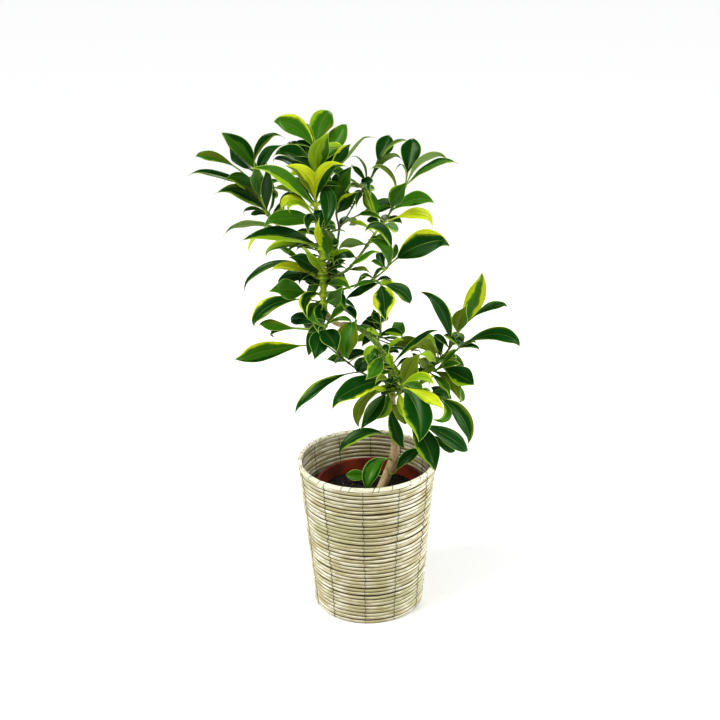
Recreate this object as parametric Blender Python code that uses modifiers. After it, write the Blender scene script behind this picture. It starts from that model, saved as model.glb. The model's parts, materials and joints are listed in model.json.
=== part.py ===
# A potted fagraea: a variegated shrub in a nursery pot, set in a cover pot of bound cane rows.
# Metres, +Z up. The origin is the middle of the cover pot's underside, and -Y is the front.
import math
import random

import bmesh
import bpy
import numpy as np
from mathutils import Matrix, Vector

# Cover pot
BASKET_HEIGHT = 0.2099
BASKET_FOOT_RADIUS = 0.0720
BASKET_TOP_RADIUS = 0.0892
BASKET_ROWS = 36
ROW_BULGE = 0.0020
ROW_GROOVE = 0.0006
LINING = 0.0014
INNER_BULGE = 0.0022
INNER_ROWS_SHOWN = 5
RIM_TUBE = 0.0030
BASE_THICKNESS = 0.0040
ROUND_SIDES = 20
RIM_SIDES = 6

# Thread that binds the rows: upright lines of stitching round the wall
STITCH_COUNT = 12
STITCH_FIRST_ANGLE = math.radians(-94.0)
STITCH_THREAD = 0.0005
STITCH_FOOT = 0.0060

# Nursery pot and soil
POT_CENTRE_X = 0.0030
POT_TOP = 0.1750
POT_TOP_RADIUS = 0.0720
POT_FOOT_RADIUS = 0.0520
POT_WALL = 0.0020
POT_LIP = 0.0018
POT_LIP_HEIGHT = 0.0160
SOIL_TOP = 0.1570
SOIL_CROWN = 0.0020

# Plant
BUSH_DEPTH = 1.7
LOW_SHOOTS = (
    "shoot_rim", "leaf_over_rim", "leaves_hanging", "leaf_inside_pot", "leaf_on_soil", "leaf_low_right",
)
LEAF_THICKNESS = 0.0008
LEAF_FOLD = math.radians(16.0)
LONG_LEAF = 0.078
SHORT_LEAF = 0.038
PETIOLE_HALF = 0.0011
ROOT_HALF = 0.0003
TIP_HALF = 0.0005
STUB_LENGTH = 0.0018
CUT_STRAIGHT = 0.0012
STEM_STEP = 8
HOLE_POINTS = 5
STANDING = ("leader", "crown")
SCRAP_POINTS = 12
SEED = 7

# Clearance between pieces that touch
GAP = 0.0003

# Tables below are in cm, as laid out on the upright plane through the pot for someone standing at the eye.
cm = 0.01
eye = np.array([-0.6, -126.0, 82.0])

# The trunk's line as (x, z, depth, radius): out of the soil, up, over to the left in the green arch, and up
# to where the leader stands on it.
trunk_line = (
    (1.6, 12.9, 0.0, 0.62), (1.65, 14.5, 0.0, 0.62), (1.9, 16.2, 0.0, 0.62), (2.4, 17.6, 0.0, 0.62),
    (3.0, 19.2, 0.0, 0.61), (3.55, 21.0, 0.0, 0.60), (3.75, 22.8, 0.0, 0.58), (3.7, 25.2, 0.0, 0.54),
    (3.45, 27.8, 0.0, 0.50), (3.35, 30.2, 0.0, 0.46), (3.3, 32.2, 0.0, 0.43), (3.1, 33.6, 0.0, 0.42),
    (2.5, 35.1, 0.0, 0.41), (1.6, 36.8, 0.0, 0.40), (0.5, 38.1, 0.0, 0.39), (-1.0, 39.2, 0.0, 0.36),
    (-2.3, 39.6, 0.0, 0.33), (-3.3, 39.6, 0.0, 0.33), (-4.2, 40.2, 0.0, 0.36), (-4.9, 41.15, 0.0, 0.35),
)

# The shoots, hand-placed. Points are cm as the viewer sees them on the upright plane through the pot's axis:
# x to the right, z up. A stem's points also have their depth y behind (+) or before (-) that plane.
# A leaf's line holds where it leaves its stem, a point half-way, its tip, its width, its turn in degrees
# (0 faces the viewer, 90 faces up, or right if it is upright), the tip's depth beyond its stem, the share of
# its length that is petiole, and its colours from the upper margin over the middle to the lower margin:
# d dark, m mid green, l lime, y yellow, k khaki, o pale underside.
shoots = {
    "shoot_top_left": {
        "parent": "leader",
        "back": 3,
        "stems": [
            (0.22, 0.12, (-5.3, 47.3, 0.0), (-7.4, 49.6, 2.6), (-9.8, 51.8, 3.6), (-11.5, 53.7, 3.8),
             (-12.3, 55.4, 3.8), (-12.9, 57.2, 3.6), (-13.1, 59.3, 3.4)),
        ],
        "leaves": [
            ((-13.1, 59.2), (-14.2, 61.9), (-17.2, 64.2), 2.7, 10, 1.0, 0.06, "mmm"),
            ((-13.1, 59.0), (-14.4, 60.4), (-15.9, 61.8), 1.7, -55, -3.0, 0.06, "ddd"),
            ((-12.9, 59.2), (-12.1, 61.6), (-9.5, 63.5), 1.5, 50, -1.0, 0.2, "ddd"),
            ((-12.9, 57.3), (-16.3, 60.2), (-20.4, 61.2), 1.7, 40, 1.0, 0.42, "lmm"),
            ((-12.8, 56.8), (-16.8, 58.9), (-20.9, 59.2), 1.8, 60, -1.5, 0.12, "dmo"),
            ((-12.7, 56.2), (-14.5, 57.9), (-16.5, 58.6), 1.8, 30, -3.0, 0.06, "mml"),
            ((-12.3, 55.4), (-14.4, 56.9), (-17.0, 57.3), 2.0, 25, -3.5, 0.06, "ldd"),
            ((-12.4, 55.8), (-12.8, 57.9), (-12.6, 60.0), 1.8, 10, -3.5, 0.06, "mmd"),
            ((-11.7, 54.2), (-11.7, 57.0), (-11.3, 59.6), 1.4, 10, -3.0, 0.06, "ddd"),
            ((-12.9, 58.5), (-11.9, 60.5), (-10.7, 61.3), 1.3, 30, -3.5, 0.1, "ddd"),
            ((-11.5, 53.9), (-11.0, 56.0), (-11.1, 59.0), 1.1, 65, 2.5, 0.1, "ddo"),
            ((-9.7, 51.6), (-13.3, 52.7), (-17.3, 51.9), 1.4, 120, 0.5, 0.15, "loo"),
            ((-10.0, 51.9), (-13.0, 51.4), (-14.5, 48.7), 1.0, 60, -0.5, 0.2, "yyl"),
        ],
    },
    "crown": {
        "parent": "leader",
        "back": 4,
        "stems": [
            (0.27, 0.13, (-5.5, 52.95, 0.0), (-5.8, 55.3, 0.0), (-5.6, 57.6, 0.0), (-5.4, 60.0, 0.2),
             (-5.6, 62.6, 0.3)),
        ],
        "leaves": [
            ((-5.8, 61.6), (-8.0, 64.2), (-10.7, 65.2), 2.5, 20, 1.0, 0.06, "lmm"),
            ((-5.7, 62.2), (-6.2, 63.8), (-7.0, 65.0), 1.3, 60, 3.0, 0.1, "mml"),
            ((-5.5, 62.4), (-4.9, 64.6), (-3.5, 66.5), 2.6, 10, 2.0, 0.06, "lmk"),
            ((-5.4, 59.4), (-5.4, 61.6), (-3.9, 63.2), 2.3, 10, -2.5, 0.06, "ylm"),
            ((-5.3, 59.8), (-3.3, 62.2), (-1.2, 64.4), 2.5, 15, 1.5, 0.06, "mmm"),
            ((-5.4, 58.4), (-2.9, 60.9), (-1.4, 62.3), 1.6, 20, -0.5, 0.3, "ydd"),
            ((-5.4, 56.8), (-1.9, 60.3), (1.0, 63.1), 1.1, 115, 1.5, 0.1, "ooo"),
            ((-5.7, 55.7), (-4.7, 58.4), (-2.7, 59.8), 2.0, 20, -3.0, 0.06, "yld"),
            ((-5.8, 55.6), (-6.8, 58.0), (-9.0, 59.6), 2.1, 15, -2.5, 0.06, "yym"),
            ((-5.5, 58.6), (-8.0, 61.0), (-10.8, 61.2), 2.1, 45, -0.5, 0.06, "ddd"),
            ((-5.5, 58.9), (-6.7, 60.8), (-7.7, 62.9), 1.6, 0, 1.8, 0.06, "ddl"),
            ((-5.9, 54.7), (-9.0, 58.1), (-12.3, 59.9), 1.5, 20, -4.5, 0.06, "lmm"),
            ((-5.9, 55.1), (-7.4, 57.0), (-8.7, 58.8), 1.0, 50, -0.8, 0.06, "ldd"),
            ((-5.6, 56.9), (-4.3, 55.8), (-4.7, 51.8), 1.8, 0, -3.5, 0.1, "ddd"),
            ((-5.8, 54.9), (-8.7, 56.8), (-11.0, 57.1), 1.2, 55, 1.0, 0.2, "kkm"),
            ((-5.6, 53.8), (-9.0, 56.2), (-10.4, 53.9), 1.6, 45, 0.5, 0.15, "dyy"),
        ],
    },
    "leader": {
        "parent": "trunk",
        "back": 4,
        "stems": [
            (0.34, 0.27, (-4.95, 41.25, 0.0), (-5.2, 43.0, 0.0), (-5.1, 45.0, 0.0), (-5.2, 47.0, 0.0),
             (-5.2, 49.0, 0.0), (-5.3, 51.0, 0.0), (-5.5, 52.9, 0.0)),
        ],
        "leaves": [
            ((-5.5, 52.7), (-9.0, 53.4), (-12.6, 52.8), 2.1, 25, -1.5, 0.06, "mmm"),
            ((-5.3, 49.3), (-9.6, 51.5), (-15.1, 51.1), 1.8, 40, -2.2, 0.06, "ddl"),
            ((-5.3, 49.0), (-9.6, 50.5), (-12.4, 48.8), 1.5, 50, -0.8, 0.12, "ylo"),
            ((-5.2, 45.8), (-8.7, 48.6), (-11.0, 50.2), 0.9, 40, 1.0, 0.3, "mml"),
            ((-5.2, 45.7), (-7.2, 47.7), (-8.8, 48.5), 1.7, 20, -2.0, 0.1, "ddd"),
            ((-5.2, 46.6), (-6.1, 47.8), (-7.3, 49.4), 0.9, 0, -3.0, 0.06, "lll"),
            ((-5.2, 45.5), (-10.8, 47.6), (-16.1, 43.8), 1.1, 50, 0.5, 0.15, "ddo"),
            ((-5.2, 45.3), (-8.6, 47.2), (-11.7, 46.9), 1.3, 35, -1.5, 0.1, "myd"),
            ((-5.1, 44.6), (-8.5, 46.0), (-11.4, 44.4), 1.9, 40, 1.5, 0.06, "ddd"),
            ((-5.2, 43.4), (-9.0, 44.2), (-11.2, 44.4), 2.4, 10, -3.0, 0.28, "mmm"),
            ((-5.1, 42.6), (-11.4, 43.0), (-14.5, 39.4), 2.1, 35, -1.0, 0.3, "ydd"),
            ((-5.1, 43.8), (-7.2, 43.2), (-7.4, 40.9), 1.5, 30, -4.5, 0.1, "ydy"),
            ((-5.0, 42.4), (-6.9, 41.7), (-5.8, 39.3), 1.2, 10, -5.5, 0.1, "lml"),
            ((-5.0, 41.9), (-5.9, 42.1), (-7.0, 42.2), 0.9, 40, 3.0, 0.2, "ddd"),
            ((-5.3, 50.9), (-4.5, 50.1), (-4.6, 48.3), 1.3, 0, -3.5, 0.1, "mmm"),
            ((-5.1, 46.2), (-4.3, 46.9), (-3.5, 47.7), 1.5, 0, 4.0, 0.2, "ddd"),
            ((-5.1, 45.0), (-3.5, 45.9), (-1.9, 45.6), 1.5, 40, 3.0, 0.1, "ddd"),
            ((-5.1, 44.7), (-3.2, 45.2), (-1.9, 44.3), 1.2, 20, -3.0, 0.1, "lmm"),
            ((-5.1, 42.8), (-3.9, 43.1), (-3.0, 44.4), 1.8, 0, -4.0, 0.1, "mmm"),
            ((-5.5, 52.5), (-6.5, 53.3), (-6.9, 51.7), 1.2, 0, -4.0, 0.1, "ddd"),
            ((-5.3, 49.4), (-5.6, 51.2), (-5.6, 53.0), 0.9, 0, -1.7, 0.06, "yyl"),
        ],
    },
    "shoot_top_middle": {
        "parent": "leader",
        "back": 1,
        "stems": [
            (0.18, 0.11, (-5.2, 47.0, 0.0), (-4.1, 48.2, 0.9), (-3.4, 49.6, 1.2), (-3.1, 51.2, 1.5),
             (-3.0, 52.1, 1.5), (-3.3, 53.6, 1.6), (-3.2, 55.2, 1.7)),
            (0.11, 0.07, (-3.0, 52.1, 1.5), (-1.9, 53.7, 1.8), (-0.9, 55.4, 2.0), (0.1, 57.0, 2.2),
             (1.0, 58.1, 2.3), (1.9, 59.8, 2.4)),
        ],
        "leaves": [
            ((-3.2, 55.1), (-2.8, 57.3), (-1.3, 59.4), 2.3, 0, -2.0, 0.06, "dmm"),
            ((-3.3, 53.7), (-2.2, 55.2), (-0.7, 56.5), 1.5, 10, -2.5, 0.06, "ydd"),
            ((-3.3, 50.1), (-4.2, 51.0), (-4.8, 52.2), 1.2, 160, -2.0, 0.1, "ooo"),
            ((-2.9, 52.2), (0.6, 54.2), (4.3, 55.4), 1.4, 15, 2.5, 0.4, "ddd"),
            ((1.0, 58.1), (2.1, 60.9), (3.5, 63.4), 2.0, 0, 1.5, 0.38, "ddd"),
            ((0.6, 57.6), (2.5, 60.0), (4.6, 60.9), 1.3, 60, -1.0, 0.1, "doo"),
            ((1.8, 59.7), (3.6, 62.1), (5.9, 62.4), 1.2, 65, 0.5, 0.06, "kol"),
            ((0.3, 57.3), (0.1, 59.6), (-1.3, 61.1), 0.8, 70, 1.5, 0.1, "doo"),
            ((0.2, 57.2), (1.2, 55.4), (1.7, 52.8), 1.3, 50, -2.0, 0.1, "lmd"),
            ((-0.1, 56.8), (-0.9, 57.3), (-2.0, 56.9), 0.8, 30, -3.0, 0.1, "kko"),
            ((-0.2, 56.6), (-0.6, 56.2), (-0.8, 55.0), 1.0, 0, -3.5, 0.1, "mdd"),
            ((0.2, 57.3), (0.4, 57.6), (0.5, 56.9), 1.5, 0, -5.0, 0.06, "ddd"),
        ],
    },
    "shoot_top_right": {
        "parent": "leader",
        "back": 1,
        "stems": [
            (0.2, 0.1, (-5.1, 45.4, 0.0), (-3.9, 46.0, -0.7), (-2.3, 46.6, -0.9), (-0.9, 48.1, -0.8),
             (0.3, 49.7, -0.8), (1.2, 51.1, -0.6), (2.3, 52.4, -0.4), (3.3, 54.0, -0.2),
             (4.2, 55.8, 0.0), (5.2, 57.3, 0.2)),
        ],
        "leaves": [
            ((5.1, 57.2), (5.6, 60.4), (6.1, 63.2), 2.3, 0, 2.0, 0.22, "ddd"),
            ((5.0, 57.1), (5.1, 59.0), (4.2, 59.9), 0.8, 70, 3.2, 0.1, "ddd"),
            ((5.2, 57.3), (7.3, 60.1), (10.4, 60.7), 1.6, 120, 1.0, 0.06, "ooo"),
            ((5.1, 57.1), (8.0, 59.2), (11.2, 60.2), 1.7, 62, -1.5, 0.06, "dmo"),
            ((3.4, 54.1), (4.0, 55.9), (5.3, 57.4), 1.8, 10, -3.0, 0.06, "lmm"),
            ((3.4, 54.0), (6.0, 55.4), (8.7, 55.2), 1.7, 25, -1.5, 0.06, "mmd"),
            ((4.1, 55.6), (3.2, 58.6), (0.8, 59.6), 1.0, 60, -1.5, 0.1, "dko"),
            ((2.4, 52.5), (6.0, 53.6), (8.7, 52.6), 1.6, 35, -2.5, 0.2, "yyy"),
            ((2.3, 52.3), (3.4, 52.1), (4.5, 51.4), 1.1, 20, 3.0, 0.1, "mml"),
            ((0.5, 49.9), (-1.4, 50.1), (-3.3, 49.6), 1.3, 140, 0.6, 0.1, "ooo"),
            ((-0.9, 48.1), (-2.4, 48.8), (-4.1, 47.7), 1.4, 30, -2.0, 0.1, "ldd"),
            ((-2.2, 46.7), (-0.8, 46.8), (0.6, 46.6), 1.0, 55, -2.0, 0.1, "kkm"),
            ((-1.6, 47.2), (-0.2, 48.2), (1.7, 49.4), 0.9, 50, -3.0, 0.1, "mml"),
        ],
    },
    "shoot_middle": {
        "parent": "leader",
        "back": 0,
        "stems": [
            (0.17, 0.09, (-5.1, 43.8, 0.0), (-3.4, 44.0, -1.2), (-1.6, 44.6, -1.7), (0.0, 45.1, -1.9),
             (1.1, 45.5, -2.0), (2.7, 46.8, -2.1), (3.5, 48.2, -2.1)),
            (0.09, 0.08, (1.1, 45.5, -2.0), (1.6, 45.2, -2.2), (2.0, 44.8, -2.3)),
        ],
        "leaves": [
            ((2.8, 46.9), (2.7, 49.2), (0.4, 50.7), 1.6, 30, -1.5, 0.06, "mmm"),
            ((3.4, 48.2), (2.5, 51.3), (-0.1, 52.2), 1.6, 40, -2.5, 0.12, "ddl"),
            ((2.8, 46.9), (6.5, 49.6), (10.7, 50.3), 3.0, 20, -1.5, 0.18, "ydd"),
            ((2.7, 46.8), (2.1, 48.0), (2.0, 49.3), 1.1, 0, 2.5, 0.1, "ddd"),
            ((3.3, 47.8), (3.8, 48.9), (4.0, 50.3), 0.8, 30, 2.0, 0.1, "kdo"),
            ((2.0, 44.8), (2.6, 42.9), (2.5, 40.2), 3.0, 0, -3.0, 0.06, "ydy"),
            ((2.0, 44.8), (4.5, 43.9), (6.1, 41.9), 1.8, 25, 1.0, 0.1, "ddk"),
            ((1.8, 45.0), (0.0, 44.2), (-2.9, 42.9), 1.3, 45, 1.5, 0.06, "mdd"),
            ((1.6, 45.2), (0.2, 45.0), (-1.5, 44.4), 0.9, 50, -1.0, 0.06, "mmm"),
        ],
    },
    "shoot_dark": {
        "parent": "trunk",
        "back": 0,
        "stems": [
            (0.16, 0.1, (-4.2, 40.2, 0.0), (-4.8, 39.7, -1.0), (-5.2, 38.9, -1.5)),
        ],
        "leaves": [
            ((-5.0, 39.3), (-6.3, 38.1), (-7.4, 35.1), 1.9, 30, -0.5, 0.06, "ddd"),
            ((-5.2, 38.9), (-5.9, 37.4), (-6.5, 34.9), 2.3, 10, -2.5, 0.06, "ddd"),
            ((-5.2, 38.9), (-4.5, 37.9), (-3.5, 36.0), 2.3, 10, -2.0, 0.06, "ddd"),
            ((-5.0, 39.4), (-5.7, 39.8), (-6.3, 39.0), 1.3, 20, -4.0, 0.1, "mdd"),
            ((-4.9, 39.5), (-6.6, 40.0), (-8.0, 39.0), 1.9, 20, 2.0, 0.1, "ddd"),
            ((-5.0, 39.4), (-7.8, 40.4), (-9.8, 40.1), 1.6, 20, 2.5, 0.1, "ddd"),
            ((-5.2, 38.9), (-10.1, 39.6), (-13.5, 39.9), 1.7, 20, 0.5, 0.36, "lmm"),
            ((-5.2, 38.8), (-9.9, 39.2), (-12.3, 38.4), 1.3, 55, 2.0, 0.36, "ddd"),
        ],
    },
    "shoot_arch": {
        "parent": "trunk",
        "back": 0,
        "stems": [
            (0.12, 0.1, (-1.2, 39.3, 0.0), (-1.15, 39.8, -0.9), (-1.1, 40.2, -1.4)),
        ],
        "leaves": [
            ((-1.1, 40.1), (-2.0, 37.6), (-2.7, 34.8), 3.0, 0, -1.5, 0.06, "dml"),
            ((-1.1, 40.1), (-1.8, 41.2), (-3.2, 42.4), 1.4, 40, 1.0, 0.1, "ddd"),
        ],
    },
    "shoot_inner": {
        "parent": "trunk",
        "back": 0,
        "stems": [
            (0.12, 0.08, (1.2, 37.4, 0.0), (1.8, 37.9, 0.8), (2.0, 39.0, 1.0), (2.0, 39.9, 1.1)),
        ],
        "leaves": [
            ((1.95, 38.6), (1.4, 40.1), (1.2, 41.8), 1.4, 30, 1.5, 0.1, "ddl"),
            ((2.0, 39.6), (2.3, 40.2), (3.0, 41.1), 1.0, 0, 2.0, 0.1, "ddd"),
            ((1.9, 38.6), (0.9, 39.4), (-0.8, 39.5), 1.7, 30, 1.5, 0.1, "ddd"),
            ((1.9, 38.9), (1.2, 39.9), (0.4, 40.5), 1.4, 10, 3.0, 0.1, "ddd"),
            ((1.85, 38.05), (1.2, 38.5), (0.0, 39.0), 1.0, 50, -2.0, 0.1, "lll"),
            ((1.85, 38.0), (4.7, 36.9), (7.6, 37.4), 1.9, 20, 0.7, 0.2, "kkk"),
            ((1.9, 38.1), (3.7, 38.6), (4.9, 39.9), 1.8, 0, 1.0, 0.25, "mmm"),
        ],
    },
    "shoot_heart": {
        "parent": "trunk",
        "back": 0,
        "stems": [
            (0.14, 0.1, (2.5, 35.1, 0.0), (2.3, 35.3, -0.9), (2.0, 35.8, -1.4)),
        ],
        "leaves": [
            ((2.0, 35.7), (0.9, 35.7), (0.3, 33.9), 1.9, 0, -1.5, 0.06, "lmd"),
            ((2.2, 35.4), (1.4, 33.9), (0.2, 32.0), 1.8, 0, -2.5, 0.06, "lmm"),
            ((2.1, 35.6), (2.6, 36.4), (2.8, 35.2), 0.9, 0, -2.0, 0.1, "ddd"),
            ((2.3, 35.3), (-0.6, 35.7), (-2.6, 34.8), 1.3, 40, 2.0, 0.3, "ddd"),
            ((2.3, 35.3), (-0.1, 34.5), (-0.8, 32.6), 1.8, 0, 1.5, 0.3, "ddd"),
        ],
    },
    "shoot_left": {
        "parent": "trunk",
        "back": 0,
        "stems": [
            (0.17, 0.09, (3.2, 31.6, 0.0), (1.6, 32.1, 1.2), (-0.6, 33.1, 1.8), (-3.1, 35.2, 2.2),
             (-5.0, 36.9, 2.2)),
        ],
        "leaves": [
            ((-5.0, 36.9), (-11.8, 36.4), (-16.8, 34.7), 2.7, 15, -2.0, 0.22, "ydd"),
            ((-3.1, 35.2), (-3.4, 35.9), (-3.8, 36.8), 0.8, 30, -1.0, 0.1, "ddd"),
            ((-3.0, 35.1), (-3.4, 34.9), (-3.9, 34.5), 0.7, 0, -2.5, 0.1, "ddd"),
            ((-0.6, 33.1), (-5.4, 31.6), (-9.9, 27.3), 1.7, 45, -1.5, 0.2, "ldd"),
        ],
    },
    "shoot_low_left": {
        "parent": "trunk",
        "back": 0,
        "stems": [
            (0.17, 0.1, (3.3, 30.0, 0.0), (2.9, 30.4, -1.1), (2.7, 31.2, -1.7), (2.7, 32.2, -2.0)),
        ],
        "leaves": [
            ((2.7, 32.1), (-0.9, 31.1), (-5.0, 28.5), 2.5, 20, -2.5, 0.06, "ddy"),
            ((2.7, 30.9), (-0.5, 28.7), (-1.1, 24.9), 1.6, 30, -1.0, 0.1, "kkk"),
            ((2.8, 30.6), (1.2, 28.0), (-0.9, 25.0), 1.8, 0, -2.5, 0.1, "kdd"),
            ((2.9, 30.5), (2.5, 28.3), (1.2, 26.4), 1.8, 0, -0.5, 0.1, "lml"),
            ((2.7, 30.9), (0.4, 29.8), (-0.9, 28.2), 1.3, 20, 1.5, 0.1, "ddd"),
            ((2.8, 30.7), (2.0, 30.7), (0.8, 30.9), 0.8, 40, -3.0, 0.1, "lyl"),
            ((2.7, 32.2), (2.2, 32.3), (1.2, 31.8), 1.0, 30, -3.0, 0.1, "lkk"),
        ],
    },
    "shoot_low_right": {
        "parent": "trunk",
        "back": 0,
        "stems": [
            (0.2, 0.13, (3.55, 29.6, 0.0), (4.1, 30.0, -1.2), (4.6, 30.7, -1.9), (4.8, 31.4, -2.2)),
            (0.1, 0.08, (4.6, 30.7, -1.9), (6.8, 30.3, -1.5), (9.4, 29.4, -1.2)),
            (0.15, 0.09, (4.2, 30.2, -1.3), (3.9, 31.8, -1.5), (3.6, 33.2, -1.3), (3.6, 34.3, -1.1)),
        ],
        "leaves": [
            ((4.3, 30.3), (4.6, 28.6), (5.3, 25.9), 1.3, -40, -1.5, 0.06, "yyl"),
            ((4.7, 31.0), (6.6, 27.6), (7.3, 22.9), 3.3, 0, -3.5, 0.06, "ldd"),
            ((9.4, 29.4), (12.9, 27.1), (14.1, 22.1), 2.0, 20, -1.0, 0.06, "kdd"),
            ((9.3, 29.4), (9.5, 30.1), (8.3, 31.0), 1.3, 0, 1.0, 0.1, "ddd"),
            ((9.3, 29.4), (10.6, 27.2), (8.9, 25.8), 1.2, 20, -2.0, 0.1, "lmm"),
            ((4.8, 30.9), (7.8, 29.6), (10.0, 27.9), 1.6, 35, -3.0, 0.1, "yyl"),
            ((4.8, 31.4), (6.9, 32.3), (9.0, 31.4), 1.4, 40, -2.5, 0.06, "yll"),
            ((4.8, 31.4), (6.2, 31.2), (7.5, 30.2), 1.3, 0, 0.5, 0.1, "lml"),
            ((4.8, 31.4), (5.6, 33.5), (6.9, 35.4), 2.0, 0, -1.0, 0.06, "kkk"),
            ((3.6, 34.3), (6.0, 36.8), (9.2, 39.2), 1.1, 50, -0.5, 0.06, "ldl"),
            ((3.6, 33.6), (3.1, 34.7), (2.9, 35.9), 1.0, 0, -1.0, 0.1, "lll"),
        ],
    },
    "shoot_right": {
        "parent": "trunk",
        "back": 3,
        "stems": [
            (0.2, 0.09, (3.4, 30.8, 0.0), (5.0, 31.1, 1.2), (6.8, 32.0, 1.4), (8.1, 33.0, 1.4),
             (9.4, 34.6, 1.5), (10.4, 35.7, 1.5), (11.0, 36.6, 1.5), (11.7, 38.1, 1.5)),
            (0.09, 0.08, (10.3, 35.6, 1.5), (11.4, 35.8, 1.2), (12.6, 36.8, 1.0)),
            (0.09, 0.07, (8.1, 33.0, 1.4), (9.0, 33.2, 0.9), (9.9, 33.6, 0.6)),
        ],
        "leaves": [
            ((10.9, 36.5), (9.7, 40.6), (7.0, 44.0), 2.3, 15, -1.0, 0.1, "ldd"),
            ((11.7, 38.0), (13.4, 42.5), (15.1, 46.3), 2.8, 0, 1.5, 0.25, "ldl"),
            ((11.7, 38.0), (12.1, 39.9), (13.0, 41.4), 2.5, 0, -2.5, 0.06, "dkl"),
            ((11.7, 38.1), (14.9, 41.2), (18.3, 41.9), 1.3, 45, -0.5, 0.33, "mdd"),
            ((12.6, 36.8), (17.0, 38.3), (20.2, 36.4), 2.1, 30, -0.5, 0.06, "ldd"),
            ((9.7, 34.9), (9.1, 36.5), (8.2, 37.8), 2.3, 0, 2.0, 0.1, "ddd"),
            ((10.5, 35.8), (11.5, 37.1), (12.9, 36.3), 1.8, 20, 2.5, 0.1, "ddo"),
            ((9.3, 34.5), (7.7, 36.6), (5.6, 36.0), 1.8, 20, -2.5, 0.1, "kkk"),
            ((9.4, 34.7), (8.5, 37.3), (7.1, 37.3), 1.2, 45, -1.0, 0.3, "yld"),
            ((9.0, 34.2), (8.2, 35.1), (7.3, 35.4), 1.2, 20, -3.0, 0.1, "lll"),
            ((8.3, 33.3), (7.6, 34.2), (6.8, 34.7), 1.3, 0, -3.0, 0.1, "kkk"),
            ((9.9, 33.6), (12.1, 32.4), (14.1, 31.1), 2.5, 10, -1.5, 0.06, "ddl"),
            ((9.0, 34.2), (11.2, 34.7), (12.9, 33.2), 1.4, 30, 1.0, 0.15, "kdd"),
            ((8.4, 33.1), (11.0, 31.7), (12.0, 28.8), 1.6, 20, -2.0, 0.1, "dkl"),
            ((8.2, 33.0), (9.9, 31.4), (10.9, 30.0), 1.1, 20, -3.5, 0.1, "mml"),
            ((9.9, 33.6), (12.0, 30.7), (12.6, 28.3), 1.0, 40, 2.0, 0.3, "mml"),
            ((7.9, 32.9), (6.6, 32.8), (5.0, 31.7), 1.3, 10, -0.5, 0.06, "ddd"),
        ],
    },
    "shoot_rim": {
        "parent": "trunk",
        "back": 0,
        "stems": [
            (0.13, 0.1, (3.75, 26.2, 0.0), (4.6, 26.7, 0.5), (5.5, 26.4, 0.6)),
        ],
        "leaves": [
            ((5.4, 26.4), (7.8, 22.9), (9.2, 18.5), 2.7, 0, -4.9, 0.06, "ddl"),
            ((5.5, 26.4), (10.8, 24.4), (13.8, 21.3), 2.0, 20, 1.0, 0.2, "ddd"),
            ((5.5, 26.3), (9.8, 23.0), (12.0, 21.9), 1.5, 20, 3.0, 0.3, "ddd"),
        ],
    },
    "leaf_over_rim": {
        "parent": "trunk",
        "back": 0,
        "stems": [(0.11, 0.1, (3.7, 24.0, 0.0), (2.9, 24.2, 0.3), (2.3, 24.3, 0.4))],
        "leaves": [((2.3, 24.3), (-0.8, 24.2), (-4.4, 21.5), 1.7, 40, -0.7, 0.03, "ddl")],
    },
    "leaves_hanging": {
        "parent": "trunk",
        "back": 0,
        "stems": [(0.12, 0.1, (3.5, 28.7, 0.0), (3.2, 28.7, -0.9), (3.1, 28.4, -1.3))],
        "leaves": [
            ((3.1, 28.4), (3.9, 25.2), (4.7, 21.8), 2.0, 0, -1.5, 0.06, "ldl"),
            ((3.1, 28.4), (4.3, 27.4), (5.3, 25.2), 1.5, 20, 0.2, 0.06, "mkk"),
        ],
    },
    "leaf_inside_pot": {
        "parent": "trunk",
        "back": 0,
        "stems": [(0.12, 0.1, (3.4, 20.4, 0.0), (3.0, 20.7, -0.9), (2.7, 20.7, -1.2))],
        "leaves": [((2.7, 20.7), (1.0, 19.1), (0.2, 15.6), 2.5, 0, -3.3, 0.03, "lml")],
    },
    "leaf_on_soil": {
        "parent": "trunk",
        "back": 0,
        "stems": [(0.1, 0.08, (2.35, 17.9, 0.0), (1.6, 18.2, 1.0), (0.7, 18.1, 1.5))],
        "leaves": [((0.7, 18.1), (-1.4, 18.3), (-3.0, 18.4), 1.4, 10, 0.5, 0.05, "mmm")],
    },
    "leaf_low_right": {
        "parent": "trunk",
        "back": 0,
        "stems": [(0.1, 0.08, (2.75, 18.7, 0.0), (3.3, 18.4, -0.9), (3.7, 18.6, -1.1))],
        "leaves": [((3.7, 18.6), (5.2, 20.7), (7.6, 22.2), 1.5, 20, 1.0, 0.05, "ddd")],
    },
}

leaf_colours = {
    "d": (0.003, 0.045, 0.006),
    "m": (0.045, 0.190, 0.012),
    "l": (0.300, 0.500, 0.015),
    "y": (0.650, 0.720, 0.020),
    "k": (0.120, 0.170, 0.012),
    "o": (0.160, 0.250, 0.070),
}


def new_collection(name):
    group = bpy.data.collections.new(name)
    bpy.context.scene.collection.children.link(group)
    return group


def material(name, colour, roughness):
    made = bpy.data.materials.new(name)
    made.use_nodes = True
    shader = made.node_tree.nodes["Principled BSDF"]
    shader.inputs["Base Color"].default_value = (*colour, 1.0)
    shader.inputs["Roughness"].default_value = roughness
    shader.inputs["Metallic"].default_value = 0.0
    return made


def add_object(name, mesh, group):
    made = bpy.data.objects.new(name, mesh)
    group.objects.link(made)
    return made


def apply_modifiers(item):
    graph = bpy.context.evaluated_depsgraph_get()
    mesh = bpy.data.meshes.new_from_object(item.evaluated_get(graph))
    mesh.name = item.name
    item.modifiers.clear()
    item.data = mesh


def finish(item, look, degrees=50.0):
    """The piece's one material, and smooth shading with the sharp edges kept."""
    item.data.materials.clear()
    item.data.materials.append(look)
    item.data.polygons.foreach_set("material_index", [0] * len(item.data.polygons))
    item.data.shade_smooth()
    item.data.set_sharp_from_angle(angle=math.radians(degrees))


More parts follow.
